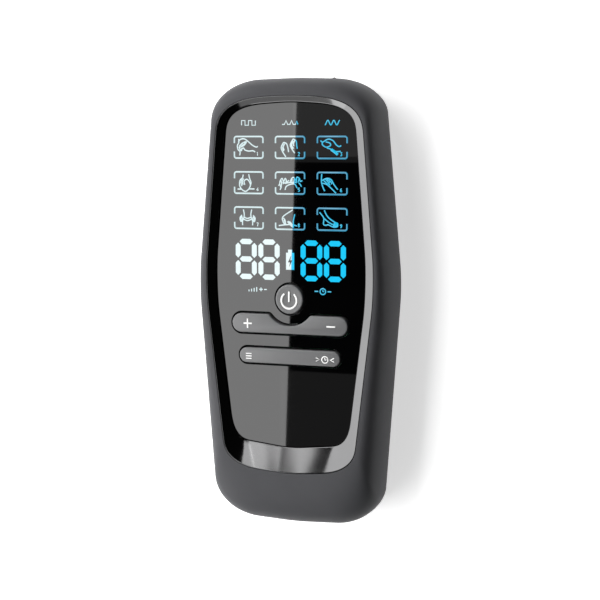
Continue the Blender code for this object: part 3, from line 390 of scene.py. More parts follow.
def end_cutters(tag):
    """The holes in the top end for the two sockets and the port."""
    made = [
        lying(f"nose_{tag}_{i}", NOSE_RADIUS + RING_GAP, side * SOCKET_X, SOCKET_Z, NOSE_FROM, PAST_END)
        for i, side in enumerate((-1, 1))
    ]
    port = skin([port_ring(PORT_GAP, PORT_FROM), port_ring(PORT_GAP, PAST_END)])
    return made + [piece("port_" + tag, port)]


low_z = PARTING_Z + PARTING_GAP
heights = [low_z + (WIDEST_Z - low_z) * step / 6 for step in range(6)]
heights += [
    WIDEST_Z + (RIM_Z - WIDEST_Z) * math.sin(math.pi / 2 * step / 22) ** (2 / FULLNESS) for step in range(23)
]
hem = shell_plan(low_z)
rings = [ring(drawn_in(hem, SHELL_WALL), DECK_LOW), ring(drawn_in(hem, SHELL_WALL), low_z)]
rings += [ring(drawn_in(hem, BROKEN), low_z)]
rings += [ring(shell_plan(z), z + (BROKEN if z == low_z else 0)) for z in heights]
rings += [ring(RIM_PLAN, RIM_Z), ring(RIM_PLAN, DECK_TOP)]
front_housing = piece("front_housing_shell", skin(rings), shell_plastic)
WINDOW_Y, WINDOW, WINDOW_CORNER = 0.0315, (0.0404, 0.0480), 0.003
window = column("window", rounded_loop((0, WINDOW_Y), WINDOW, WINDOW_CORNER), CUT_LOW, CUT_HIGH)
carve(front_housing, [*key_cutters("hole"), window, *end_cutters("front")])
NUB_X, NUB_Z, NUB_RADIUS = SOCKET_X - 0.0023, 0.0108, 0.00075  # the raised dot that marks the second channel
dotted = bmesh.new()
dotted.from_mesh(front_housing.data)
bmesh.ops.create_uvsphere(
    dotted, u_segments=24, v_segments=12, radius=NUB_RADIUS,
    matrix=Matrix.Translation((NUB_X, HALF_L - NUB_RADIUS, NUB_Z)),
)
dotted.to_mesh(front_housing.data)
dotted.free()
front_housing.data.shade_smooth()
front_housing.data.set_sharp_from_angle(angle=SHARP)
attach(front_housing, "case")
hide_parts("front_housing")


# Rear cover: the shallow tray that closes the back, in the same plastic, with a tongue inside the
# parting line, four screw wells and a shallow recess for the label.
back_heights = [PARTING_Z * (1 - math.sin(math.pi / 2 * step / 14) ** (2 / FULLNESS)) for step in range(15)]
TONGUE_IN, TONGUE_WALL, TONGUE_TOP, COVER_FLOOR = 0.002, 0.0008, 0.0058, 0.0018
WELL_RADIUS, WELL_TOP, BELOW = 0.0023, 0.01, -0.002
LABEL_GAP, LABEL_CORNER, LABEL_DEPTH = 0.0003, 0.0023, 0.00027
inside = shell_plan(PARTING_Z)
rings = [ring(shell_plan(z), z) for z in reversed(back_heights)][:-1]
rings += [ring(inside, PARTING_Z - BROKEN), ring(drawn_in(inside, BROKEN), PARTING_Z)]
rings += [ring(drawn_in(inside, TONGUE_IN), PARTING_Z), ring(drawn_in(inside, TONGUE_IN), TONGUE_TOP)]
rings += [
    ring(drawn_in(inside, TONGUE_IN + TONGUE_WALL), TONGUE_TOP),
    ring(drawn_in(inside, TONGUE_IN + TONGUE_WALL), COVER_FLOOR),
]
rear_cover = piece("rear_cover_shell", skin(rings), shell_plastic)
screw_boxes = [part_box(f"case_screw_{i}") for i in (1, 2, 3, 4)]
screw_places = [((low.x + high.x) / 2, (low.y + high.y) / 2) for low, high in screw_boxes]
wells = [
    column(f"well_{i}", arc(place, WELL_RADIUS, 0, 360, 40)[:-1], BELOW, WELL_TOP)
    for i, place in enumerate(screw_places)
]
label_low, label_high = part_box("rating_label")
LABEL_MIDDLE = ((label_low.x + label_high.x) / 2, (label_low.y + label_high.y) / 2)
recess_size = (label_high.x - label_low.x + 2 * LABEL_GAP, label_high.y - label_low.y + 2 * LABEL_GAP)
recess = column("label_recess", rounded_loop(LABEL_MIDDLE, recess_size, LABEL_CORNER), BELOW, LABEL_DEPTH)
carve(rear_cover, [*wells, recess, *end_cutters("rear")])
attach(rear_cover, "case")
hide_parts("rear_cover")


# Bezel ring: an injection moulding plated in dark chrome. It slopes from the rim down to the face, with a
# small radius at each edge, and stands a little higher above the face along the flanks.
BEZEL_LOW, BEZEL_HIGH, BEZEL_EDGE_Z = 0.0184, RIM_Z - 0.0001, FACE_Z + 0.00015
EDGE, BEZEL_GAP, FACE_GAP = 0.00018, 0.0001, 0.0002
outer_plan, inner_plan = drawn_in(RIM_PLAN, BEZEL_GAP), drawn_in(FACE_PLAN, -FACE_GAP)
bezel_chrome = moulded(
    "bezel_plating", (0.084, 0.084, 0.085), (0.092, 0.092, 0.093), (0.05, 0.075), 900, (0.03, 0.00001),
    metallic=1.0,
)
turns = [math.pi / 2 * step / 4 for step in range(5)]
FLANK_LIFT, LIFT_FROM, LIFT_OVER = 0.00055, -0.047, 0.012


def lifted(row, share):
    """Raises a ring of the inner edge along the flanks, where the slope is shorter than at the foot."""
    made = []
    for p in row:
        rise = min(max((p.y - LIFT_FROM) / LIFT_OVER, 0), 1)
        made.append(Vector((p.x, p.y, p.z + share * FLANK_LIFT * rise * rise * (3 - 2 * rise))))
    return made


rings = [ring(outer_plan, BEZEL_LOW)]
rings += [
    ring(drawn_in(outer_plan, EDGE * (1 - math.cos(a))), BEZEL_HIGH - EDGE * (1 - math.sin(a))) for a in turns
]
outer_edge = ring(drawn_in(outer_plan, EDGE), BEZEL_HIGH)
inner_edge = ring(drawn_in(inner_plan, -EDGE), BEZEL_EDGE_Z)
for share in (0.02, 0.25, 0.5, 0.75, 0.98):  # the first and the last keep the slope's shading flat
    rings.append(lifted([high.lerp(low, share) for high, low in zip(outer_edge, inner_edge)], share))
rings += [
    lifted(ring(drawn_in(inner_plan, -EDGE * (1 - math.sin(a))), BEZEL_EDGE_Z - EDGE * (1 - math.cos(a))), 1)
    for a in turns
]
rings += [ring(inner_plan, BEZEL_LOW)]
bezel = piece("bezel", skin(rings, closed=True), bezel_chrome)
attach(bezel, "case")
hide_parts("bezel_ring")


# Face panel: smoked black acrylic, polished, with a fine chamfer round it and an opening for each key.
face_gloss = moulded(
    "lens_acrylic", (0.0003, 0.0003, 0.0004), (0.0005, 0.0005, 0.0006), (0.012, 0.03), 260, (0.004, 0.00001)
)
CHAMFER, PANEL_LOW = 0.00012, 0.0186
panel_rings = [ring(FACE_PLAN, PANEL_LOW), ring(FACE_PLAN, FACE_Z - CHAMFER)]
panel_rings += [ring(drawn_in(FACE_PLAN, CHAMFER), FACE_Z)]
face_panel = piece("face_panel", skin(panel_rings), face_gloss)
carve(face_panel, key_cutters("opening"))
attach(face_panel, "case")
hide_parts("lens_panel")


# Keys: satin grey caps with a soft edge and a faint dish, each moulded with the parts under the deck that
# guide it. The round one slides on its flange, and the two bars rock on trunnions under their middles.
key_plastic = moulded(
    "key_plastic", (0.099, 0.100, 0.102), (0.110, 0.111, 0.113), (0.38, 0.46), 5200, (0.25, 0.00002),
    patch=120,
)
power_low, power_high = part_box("power_key")
KEY_TOP = power_high.z
KEY_EDGE, STEM_RADIUS = 0.0004, 0.0012
DISH, DISH_RADIUS = 0.00014, 0.0042
FLANGE_TOP, FLANGE_LOW, FLANGE_REACH = 0.0164, 0.0156, 0.001


def turned(profile, centre, steps=72):
    """A solid of revolution about an upright axis, from (radius, height) pairs, top to bottom."""
    shape = bmesh.new()
    rows = []
    for radius, z in profile:
        spots = [math.tau * i / steps for i in range(steps if radius else 1)]
        rows.append([
            shape.verts.new((centre[0] + radius * math.cos(a), centre[1] + radius * math.sin(a), z))
            for a in spots
        ])
    for upper, lower in zip(rows, rows[1:]):
        for i in range(steps):
            j = (i + 1) % steps
            corners = [row[k % len(row)] for row, k in ((upper, i), (upper, j), (lower, j), (lower, i))]
            shape.faces.new(list(dict.fromkeys(corners)))
    return shape


def add_rod(shape, radius, start, end, steps=20):
    """Adds a closed round bar between two points."""
    axis = Vector(end) - Vector(start)
    turn = axis.to_track_quat("Z", "Y").to_matrix().to_4x4()
    bmesh.ops.create_cone(
        shape, cap_ends=True, segments=steps, radius1=radius, radius2=radius, depth=axis.length,
        matrix=Matrix.Translation((Vector(start) + Vector(end)) / 2) @ turn,
    )


def add_block(shape, low, high):
    low, high = Vector(low), Vector(high)
    bmesh.ops.create_cube(
        shape, size=1, matrix=Matrix.Translation((low + high) / 2) @ Matrix.Diagonal((*(high - low), 1))
    )


edge_turns = [math.pi / 2 * step / 5 for step in range(6)]
shares = (0, 0.2, 0.4, 0.6, 0.8, 1)
profile = [(DISH_RADIUS * share, KEY_TOP - DISH * (1 - share**2) ** 2) for share in shares]
profile += [
    (POWER_RADIUS - KEY_EDGE * (1 - math.sin(a)), KEY_TOP - KEY_EDGE * (1 - math.cos(a))) for a in edge_turns
]
profile += [
    (POWER_RADIUS, FLANGE_TOP),
    (POWER_RADIUS + FLANGE_REACH, FLANGE_TOP), (POWER_RADIUS + FLANGE_REACH, FLANGE_LOW),
    (STEM_RADIUS, FLANGE_LOW), (STEM_RADIUS, power_low.z), (0, power_low.z),
]
power_cap = piece("power_key_cap", turned(profile, (0, POWER_Y)), key_plastic)
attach(power_cap, "power_key")
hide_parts("power_key")
PIVOT_Z, PIVOT_RADIUS, HUB_HALF, HUB_INSET = 0.0157, 0.0007, 0.0013, 0.0022
BAR_FOOT, FOOT_INSET, BAR_SIDE, INTO_BAR = 0.0169, 0.0003, 0.0172, 0.0173


def rocker(name, loop, node, stem_x, stem_y):
    """A bar key with a rounded rim, standing on its hub, trunnion and two stems."""
    low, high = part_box(node)
    rows = [flat_ring(loop(-FOOT_INSET), BAR_FOOT), flat_ring(loop(), BAR_SIDE)]
    for a in edge_turns:
        rows.append(flat_ring(loop(-KEY_EDGE * (1 - math.cos(a))), high.z - KEY_EDGE * (1 - math.sin(a))))
    shape = skin(rows)
    hub_low = (-HUB_HALF, low.y + HUB_INSET, PIVOT_Z - PIVOT_RADIUS)
    add_block(shape, hub_low, (HUB_HALF, high.y - HUB_INSET, INTO_BAR))
    add_rod(shape, PIVOT_RADIUS, (0, low.y, PIVOT_Z), (0, high.y, PIVOT_Z))
    for side in (-1, 1):
        add_rod(shape, STEM_RADIUS, (side * stem_x, stem_y, low.z), (side * stem_x, stem_y, INTO_BAR))
    made = piece(name, shape, key_plastic)
    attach(made, node)
    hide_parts(node)


rocker("plus_minus_bar", bar_loop, "plus_minus_key", 0.0144, BAR_Y)
rocker("mode_time_bar", mode_loop, "mode_time_key", 0.01385, MODE_Y)


# Key marks: white, pad printed on the caps: on and off, plus, minus, three bars for the mode and a
# clock face for the time. Every mark is a ribbon of ink along a path.
INK = 0.00002
POWER_STROKE, MARK, TIME_STROKE = 0.00066, 0.0005, 0.00034


def new_tree(name, **values):
    """A node tree that takes geometry and named values, and its two end nodes."""
    tree = bpy.data.node_groups.new(name, "GeometryNodeTree")
    for title, kind in {"Geometry": "Geometry", **values, "Material": "Material"}.items():
        tree.interface.new_socket(title, in_out="INPUT", socket_type="NodeSocket" + kind)
    tree.interface.new_socket("Geometry", in_out="OUTPUT", socket_type="NodeSocketGeometry")
    return tree, tree.nodes.new("NodeGroupInput"), tree.nodes.new("NodeGroupOutput")


def coated_tree(tree, shape, given, made):
    """Ends a tree: its shape is made real and coated in the material it was given."""
    real, coated = tree.nodes.new("GeometryNodeRealizeInstances"), tree.nodes.new("GeometryNodeSetMaterial")
    tree.links.new(shape, real.inputs["Geometry"])
    tree.links.new(real.outputs["Geometry"], coated.inputs["Geometry"])
    tree.links.new(given.outputs["Material"], coated.inputs["Material"])
    tree.links.new(coated.outputs["Geometry"], made.inputs["Geometry"])
    return tree


def repeated_tree():
    """Repeats the mesh it is given on a grid of columns and rows."""
    tree, given, made = new_tree("repeat_on_grid", Columns="Int", Rows="Int", Width="Float", Height="Float")
    nodes, links = tree.nodes, tree.links
    grid = nodes.new("GeometryNodeMeshGrid")
    for value, side in dict(Width="Size X", Height="Size Y", Columns="Vertices X", Rows="Vertices Y").items():
        links.new(given.outputs[value], grid.inputs[side])
    put = nodes.new("GeometryNodeInstanceOnPoints")
    links.new(grid.outputs["Mesh"], put.inputs["Points"])
    links.new(given.outputs["Geometry"], put.inputs["Instance"])
    return coated_tree(tree, put.outputs["Instances"], given, made)


def ribbon_tree():
    """Lays a flat ribbon along the edges it is given."""
    tree, given, made = new_tree("ribbon_on_path", Stroke="Float", Thickness="Float")
    nodes, links = tree.nodes, tree.links
    path = nodes.new("GeometryNodeMeshToCurve")
    links.new(given.outputs["Geometry"], path.inputs["Mesh"])
    upright = nodes.new("GeometryNodeSetCurveNormal")
    upright.mode = "Z_UP"
    links.new(path.outputs["Curve"], upright.inputs["Curve"])
    section = nodes.new("GeometryNodeCurvePrimitiveQuadrilateral")
    links.new(given.outputs["Stroke"], section.inputs["Width"])
    links.new(given.outputs["Thickness"], section.inputs["Height"])
    sweep = nodes.new("GeometryNodeCurveToMesh")
    sweep.inputs["Fill Caps"].default_value = True
    links.new(upright.outputs["Curve"], sweep.inputs["Curve"])
    links.new(section.outputs["Curve"], sweep.inputs["Profile Curve"])
    return coated_tree(tree, sweep.outputs["Mesh"], given, made)


REPEAT, RIBBON = repeated_tree(), ribbon_tree()


def run_tree(thing, tree, **values):
    """Adds a tree to a piece with its named inputs set, and turns the result into a plain mesh."""
    step = thing.modifiers.new(tree.name, "NODES")
    step.node_group = tree
    for item in tree.interface.items_tree:
        if item.item_type == "SOCKET" and item.in_out == "INPUT" and item.name in values:
            step[item.identifier] = values[item.name]
    return settle(thing)


def strokes(name, paths, z, stroke, material):
    """A piece of ribbons, one along each path, lying on a surface at height z."""
    shape = bmesh.new()
    for path in paths:
        row = [shape.verts.new((p[0], p[1], z + INK / 2)) for p in path]
        for first, second in zip(row, row[1:]):
            shape.edges.new((first, second))
    made = piece(name, shape)
    return run_tree(made, RIBBON, Stroke=stroke, Thickness=INK, Material=material)


white_ink = moulded("white_ink", (0.80, 0.80, 0.79), (0.86, 0.86, 0.85), (0.40, 0.50), 5200)
MARK_Y, MARK_RADIUS, HALF_OPENING = 0.0014, 0.00262, 37
broken_ring = arc((0, MARK_Y), MARK_RADIUS, 90 + HALF_OPENING, 450 - HALF_OPENING, 48)
power_mark = strokes(
    "power_mark", [broken_ring, [(0, 0.00105), (0, 0.0043)]], KEY_TOP, POWER_STROKE, white_ink
)
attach(power_mark, "power_key")

PLUS_X, PLUS_Y, PLUS_HALF, MINUS_X = -0.01445, -0.0065, 0.0015, (0.01275, 0.0157)
plus_minus_marks = strokes(
    "plus_minus_marks",
    [
        [(PLUS_X - 0.00145, PLUS_Y), (PLUS_X + 0.00145, PLUS_Y)],
        [(PLUS_X, PLUS_Y - PLUS_HALF), (PLUS_X, PLUS_Y - MARK / 2)],
        [(PLUS_X, PLUS_Y + MARK / 2), (PLUS_X, PLUS_Y + PLUS_HALF)],
        [(x, PLUS_Y) for x in MINUS_X],
    ],
    KEY_TOP, MARK, white_ink,
)
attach(plus_minus_marks, "plus_minus_key")

CLOCK = (0.01225, MODE_Y - 0.0003)
mode_time_marks = strokes(
    "mode_time_marks",
    [[(-0.0151, CLOCK[1] + rise), (-0.0131, CLOCK[1] + rise)] for rise in (-0.0008, 0, 0.0008)]
    + [
        arc(CLOCK, 0.00105, 0, 360, 32),
        [(CLOCK[0], CLOCK[1] + 0.0007), CLOCK, (CLOCK[0] + 0.0005, CLOCK[1])],
        [(0.0092, CLOCK[1] + 0.0006), (0.0104, CLOCK[1]), (0.0092, CLOCK[1] - 0.0006)],
        [(0.0153, CLOCK[1] + 0.0006), (0.0141, CLOCK[1]), (0.0153, CLOCK[1] - 0.0006)],
    ],
    KEY_TOP, TIME_STROKE, white_ink,
)
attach(mode_time_marks, "mode_time_key")


# Lit display: what the diffuser film shows through the smoked face, drawn as a thin film on it. Its left
# field glows a whitish blue, a painted reflection of the left lamp bank laid over the blue glow, and its
# right field a clear blue; they meet on a line down the middle, where the face mirrors the bank's near edge.
LIT, REFLECTION_EDGE_LEAN = 0.00002, -0.0355


def lit_film(name, whitened_by_painted_reflection, blue):
    """A glowing film, blue right of the middle line and whitened by a painted reflection left of it."""
    material, shader = new_finish(
        name, Base_Color=(0.004, 0.004, 0.005, 1), Roughness=0.03, Emission_Strength=1
    )
    nodes, links = material.node_tree.nodes, material.node_tree.links
    place, axes, lean = (nodes.new("ShaderNode" + kind) for kind in ("TexCoord", "SeparateXYZ", "Math"))
    links.new(place.outputs["Object"], axes.inputs["Vector"])
    lean.operation = "MULTIPLY_ADD"
    lean.inputs[1].default_value = REFLECTION_EDGE_LEAN
    links.new(axes.outputs["Y"], lean.inputs[0])
    links.new(axes.outputs["X"], lean.inputs[2])
    # left of the line the glow takes the whitish colour, a painted reflection of the left lamp bank
    side = set_inputs(nodes.new("ShaderNodeMapRange"), From_Min=-0.00012, From_Max=0.00002)
    links.new(lean.outputs["Value"], side.inputs["Value"])
    cloud = set_inputs(nodes.new("ShaderNodeTexNoise"), Scale=700)
    links.new(place.outputs["Object"], cloud.inputs["Vector"])
    dim = set_inputs(nodes.new("ShaderNodeMapRange"), To_Min=0.86, To_Max=1.08)
    links.new(cloud.outputs["Fac"], dim.inputs["Value"])
    colours = nodes.new("ShaderNodeMix")
    colours.data_type = "RGBA"
    colours.inputs[6].default_value = (*whitened_by_painted_reflection, 1)
    colours.inputs[7].default_value = (*blue, 1)
    links.new(side.outputs["Result"], colours.inputs[0])
    glow = nodes.new("ShaderNodeVectorMath")
    glow.operation = "SCALE"
    links.new(colours.outputs[2], glow.inputs[0])
    links.new(dim.outputs["Result"], glow.inputs["Scale"])
    links.new(glow.outputs["Vector"], shader.inputs["Emission Color"])
    return material


# each film's first colour is its blue whitened by a painted reflection of the left lamp bank, the second its
# clear blue
bright_film = lit_film("bright_film", (0.72, 0.86, 0.87), (0.010, 0.62, 1.0))
soft_film = lit_film("soft_film", (0.60, 0.76, 0.78), (0.026, 0.29, 0.48))
line_film = lit_film("line_film", (0.68, 0.84, 0.86), (0.014, 0.50, 0.78))

# Four seven-segment digits, two for the strength on the left and two for the minutes on the right.
DIGIT_HALF, DIGIT_RISE, SEGMENT = 0.00283, 0.00566, 0.00086
DIGITS_Y, DIGIT_PITCH, PAIR_PITCH = 0.0143, 0.00795, 0.02253
LEVEL_GAP, SIDE_GAP = 0.00055, 0.00038


def add_prism(shape, loop, low, high):
    """Adds an upright solid over a flat outline."""
    rows = [[shape.verts.new((p[0], p[1], z)) for p in loop] for z in (low, high)]
    for row in rows:
        shape.faces.new(row)
    for i in range(len(loop)):
        j = (i + 1) % len(loop)
        shape.faces.new((rows[0][i], rows[0][j], rows[1][j], rows[1][i]))


def segment(shape, start, end, gap, half=SEGMENT):
    """One six-sided segment between two nodes of a digit."""
    start, end = Vector(start), Vector(end)
    along = (end - start).normalized()
    across = Vector((-along.y, along.x))
    loop = [
        start + along * gap,
        start + along * (gap + half) + across * half,
        end - along * (gap + half) + across * half,
        end - along * gap,
        end - along * (gap + half) - across * half,
        start + along * (gap + half) - across * half,
    ]
    add_prism(shape, loop, FACE_Z, FACE_Z + LIT)


digit = bmesh.new()
for level in (-DIGIT_RISE, 0, DIGIT_RISE):
    segment(digit, (-DIGIT_HALF, level + DIGITS_Y), (DIGIT_HALF, level + DIGITS_Y), LEVEL_GAP)
for side in (-DIGIT_HALF, DIGIT_HALF):
    for level in (-DIGIT_RISE, 0):
        segment(digit, (side, level + DIGITS_Y), (side, level + DIGIT_RISE + DIGITS_Y), SIDE_GAP)
digits = piece("lit_digits", digit, bright_film)
for pitch in (DIGIT_PITCH, PAIR_PITCH):
    run_tree(digits, REPEAT, Columns=2, Rows=1, Width=pitch, Height=0.0, Material=bright_film)

# Battery gauge between the digits: a full cell with its cap and a dark charging bolt.
gauge = bmesh.new()
for low, high in (((-0.0014, 0.01125), (0.0014, 0.0167)), ((-0.0007, 0.0167), (0.0007, 0.0177))):
    add_block(gauge, (*low, FACE_Z), (*high, FACE_Z + LIT))
battery_gauge = piece("lit_battery_gauge", gauge, bright_film)
bolt_ink = moulded(
    "bolt_mask", (0.010, 0.010, 0.012), (0.014, 0.014, 0.016), (0.05, 0.08), 900, (0.02, 0.00001)
)
bolt = [
    (0.00035, 0.0158), (-0.00075, 0.0136), (-0.00005, 0.0136),
    (-0.00035, 0.0121), (0.0008, 0.0143), (0.0001, 0.0143),
]
bolt_shape = bmesh.new()
add_prism(bolt_shape, bolt, FACE_Z + LIT, FACE_Z + 2 * LIT)
battery_bolt = piece("battery_bolt", bolt_shape, bolt_ink)
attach(battery_bolt, "case")

# The frames of the nine treatment symbols, each an upper and a lower bracket.
ROW_TOP, ROW_PITCH, COLUMN_PITCH = 0.05026, 0.01132, 0.01427
FRAME_HALF, FRAME_RISE, FRAME_CORNER, FRAME_GAP = 0.00497, 0.00345, 0.0007, 0.00135
FRAME_STROKE = 0.00052
middle_y = ROW_TOP - ROW_PITCH


def bracket(sign):
    """One bracket round the upper or the lower half of a symbol, centred on the middle symbol."""
    inner_x, inner_y = FRAME_HALF - FRAME_CORNER, FRAME_RISE - FRAME_CORNER
    path = [Vector((FRAME_HALF, FRAME_GAP))] + arc((inner_x, inner_y), FRAME_CORNER, 0, 90, 6)
    path += arc((-inner_x, inner_y), FRAME_CORNER, 90, 180, 6) + [Vector((-FRAME_HALF, FRAME_GAP))]
    return [(p.x, middle_y + sign * p.y) for p in path]


symbol_frames = strokes("lit_symbol_frames", [bracket(1), bracket(-1)], FACE_Z, FRAME_STROKE, soft_film)
run_tree(
    symbol_frames, REPEAT, Columns=3, Rows=3, Width=2 * COLUMN_PITCH, Height=2 * ROW_PITCH, Material=soft_film
)

# The nine treatment symbols, line drawings of where the pads go, on a grid of tenths of a millimetre
# round the middle of each frame, and the small number in each lower right corner.
SYMBOLS = [
    [
        [(-36, 16), (-29, 25), (-15, 27), (-2, 19), (13, 7), (26, 1), (32, 3)],
        [(-35, 27), (-34, 15), (-39, 6), (-37, -7), (-30, -14), (-31, -26)],
        [(-33, 3), (-22, 13), (-8, 18), (-14, 8), (-24, 2), (-33, 0)],
        [(-28, -12), (-19, -2), (-12, -9), (1, -12), (15, -11), (23, -15)],
        [(-30, 5), (-19, 14), (-10, 16)], [(-26, 3), (-15, 10), (-10, 14)],
        [(-34, 2), (-30, -7), (-25, -11)], [(-26, -3), (-24, -12)],
    ],
    [
        [(-22, 16), (-30, 0), (-25, -14), (-14, -30)], [(-22, 16), (-12, 12), (-7, -2), (-5, -15)],
        [(-20, 10), (-25, -2), (-21, -12)], [(11, 27), (1, 8), (8, -7), (16, -18)],
        [(11, 27), (21, 20), (23, 5), (25, -4)], [(12, 21), (6, 8), (12, -4)],
        [(-18, 12), (-23, 2), (-20, -9)], [(8, 19), (4, 6), (9, -5)], [(16, 22), (12, 12), (13, 4)],
    ],
    [
        [(-39, 22), (-32, 17), (-14, 26), (2, 22), (13, 9), (23, 3), (30, 6)],
        [(-32, 17), (-33, 9), (-20, 1), (-6, 6), (-8, 14), (-22, 18)],
        [(-18, -1), (-3, -6), (8, -14), (18, -23)], [(3, -10), (14, -13), (28, -12)],
        [(-5, -8), (7, -16), (17, -24)], [(-2, -4), (10, -12), (20, -21)],
    ],
    [
        [(-39, -21), (-26, -21)], [(0, -20), (20, -20)],
        [(-19, 26), (-22, 15), (-30, 8), (-32, -9), (-24, -22), (-11, -28), (0, -21)],
        [(0, -21), (6, -8), (1, 5), (-7, 11), (-16, 5), (-14, -7)], [(0, 27), (3, 14), (8, 1), (6, -8)],
        [(-23, 13), (-27, 1), (-24, -11)], [(-18, 13), (-22, 3), (-20, -7)],
    ],
    [
        [(-40, -8), (-36, -5), (-34, 6), (-27, 15), (-22, 5), (-16, 15), (-10, 4), (-4, 9)],
        [(0, 3), (6, 15), (13, 18), (19, 9), (24, 19), (32, 15), (35, 6), (42, 8)],
        [(-34, -22), (-30, -10), (-36, -5)], [(-17, -22), (-13, -11), (1, -4), (16, -3), (24, -15)],
        [(30, 1), (35, -4), (39, -11)], [(-26, 2), (-16, 0), (3, 2), (20, 3)],
        [(-31, 9), (-29, -4), (-34, -13)], [(-22, 6), (-23, -3)], [(-13, 9), (-14, -3)], [(7, 14), (6, 0)],
        [(15, 16), (13, 0)], [(23, 15), (21, 0)], [(31, 13), (27, 2)],
    ],
    [
        [(-35, 30), (-36, 7), (-32, -9), (-25, -24)], [(-36, 8), (-18, 16), (-3, 12), (6, -3), (19, -19)],
        [(-33, 1), (-18, -3), (-3, -15), (13, -30)], [(-18, 14), (-8, 6), (-18, -3)],
        [(-29, 10), (-20, 2), (-12, -6)], [(-22, 13), (-13, 4), (-7, -6)], [(-12, 13), (-4, 5), (-1, -2)],
    ],
    [
        [(-19, 27), (-16, 11), (-18, -1), (-22, -11), (-22, -24)],
        [(10, 27), (7, 11), (9, -1), (13, -11), (13, -24)], [(-18, 3), (-5, -2), (9, 3)],
        [(-19, -4), (-5, -9), (10, -4)], [(-24, 9), (-31, -1), (-28, -12), (-23, -6), (-24, 4)],
        [(15, 9), (22, -1), (19, -12), (14, -6), (15, 4)], [(-25, 6), (-28, -3), (-26, -8)],
        [(16, 6), (19, -3), (17, -8)],
    ],
    [
        [(9, 28), (-24, 6), (-24, -10), (-17, -19)], [(-39, -23), (-17, -20), (5, -19), (24, -23)],
        [(-6, -8), (2, -16), (11, -28), (11, -8), (16, 14)], [(-23, 2), (-17, -6), (-15, -18)],
        [(-21, -4), (-18, -10), (-16, -18)], [(-9, -9), (-1, -18), (8, -26)],
        [(-2, -9), (5, -16), (9, -23)],
    ],
    [
        [(-42, 22), (-28, 4), (-29, -15), (-20, -19), (-13, -17), (5, -24), (18, -22), (19, -12)],
        [(19, -12), (8, -8), (-10, 4), (-20, 16), (-26, 29)], [(-28, 4), (-13, -8), (5, -17), (15, -16)],
        [(10, -19), (15, -12), (9, -12), (16, -20)], [(3, -20), (11, -21), (18, -18)],
        [(5, -13), (12, -15), (19, -14)],
    ],
]
NUMBERS = [
    [(-1, 4), (1, 6), (1, -6)],
    [(-3, 4), (-1, 6), (2, 5), (3, 2), (-3, -6), (3, -6)],
    [(-3, 6), (3, 6), (0, 1), (3, -2), (1, -6), (-3, -5)],
    [(2, -6), (2, 6), (-3, -2), (4, -2)],
    [(3, 6), (-3, 6), (-3, 1), (1, 1), (3, -2), (1, -6), (-3, -5)],
    [(2, 6), (-2, 3), (-3, -3), (0, -6), (3, -3), (0, 0), (-3, -3)],
    [(-3, 6), (3, 6), (0, -6)],
    [(0, 1), (-3, 3), (0, 6), (3, 3), (0, 1), (-3, -3), (0, -6), (3, -3), (0, 1)],
    [(-2, -6), (2, -3), (3, 3), (0, 6), (-3, 3), (0, 0), (3, 3)],
]


def eased(path, steps=6):
    """A smooth line through the points of a path."""
    points = [Vector(p) for p in path]
    ends = [2 * points[0] - points[1]] + points + [2 * points[-1] - points[-2]]
    made = []
    for a, b, c, d in zip(ends, ends[1:], ends[2:], ends[3:]):
        for step in range(steps):
            t = step / steps
            curve = (2 * a - 5 * b + 4 * c - d) * t**2 + (3 * b - a - 3 * c + d) * t**3
            made.append(0.5 * (2 * b + (c - a) * t + curve))
    return made + [points[-1]]


TENTH, NUMBER_STEP, NUMBER_AT = 0.0001, 0.00009, Vector((0.0030, -0.0021))
SYMBOL_STROKE, NUMBER_STROKE, HINT_STROKE = 0.00040, 0.00032, 0.00036
symbol_paths, number_paths = [], []
for i, (drawing, number) in enumerate(zip(SYMBOLS, NUMBERS)):
    centre = Vector(((i % 3 - 1) * COLUMN_PITCH, ROW_TOP - i // 3 * ROW_PITCH))
    symbol_paths += [[centre + TENTH * p for p in eased(path)] for path in drawing]
    number_paths += [[centre + NUMBER_AT + NUMBER_STEP * Vector(p) for p in number]]
symbols = strokes("lit_symbols", symbol_paths, FACE_Z, SYMBOL_STROKE, line_film)
numbers = strokes("lit_numbers", number_paths, FACE_Z, NUMBER_STROKE, line_film)

# Small marks in place of words: a pulse train of a different shape over each column of symbols, a rising
# scale with plus and minus under the left digits, and a clock under the right ones.
HEAD_X, HEAD_Y, PULSE_RISE = 0.0143, 0.05805, 0.00075
SQUARE = [(-1, -1), (-1, 1), (-0.5, 1), (-0.5, -1), (0, -1), (0, 1), (0.5, 1), (0.5, -1), (1, -1), (1, 1)]
SPIKE = [
    (-1, -0.7), (-0.7, -0.7), (-0.5, 1), (-0.3, -0.7), (0, -0.7), (0.2, 1), (0.4, -0.7), (0.7, -0.7),
    (0.85, 0.7), (1, -0.7),
]
WAVE = [(x / 12, math.sin(x / 12 * math.tau * 1.25)) for x in range(-12, 13)]


def pulses(centre_x, half, steps):
    """A train of pulses across the given width."""
    return [(centre_x + half * x, HEAD_Y + PULSE_RISE * y) for x, y in steps]


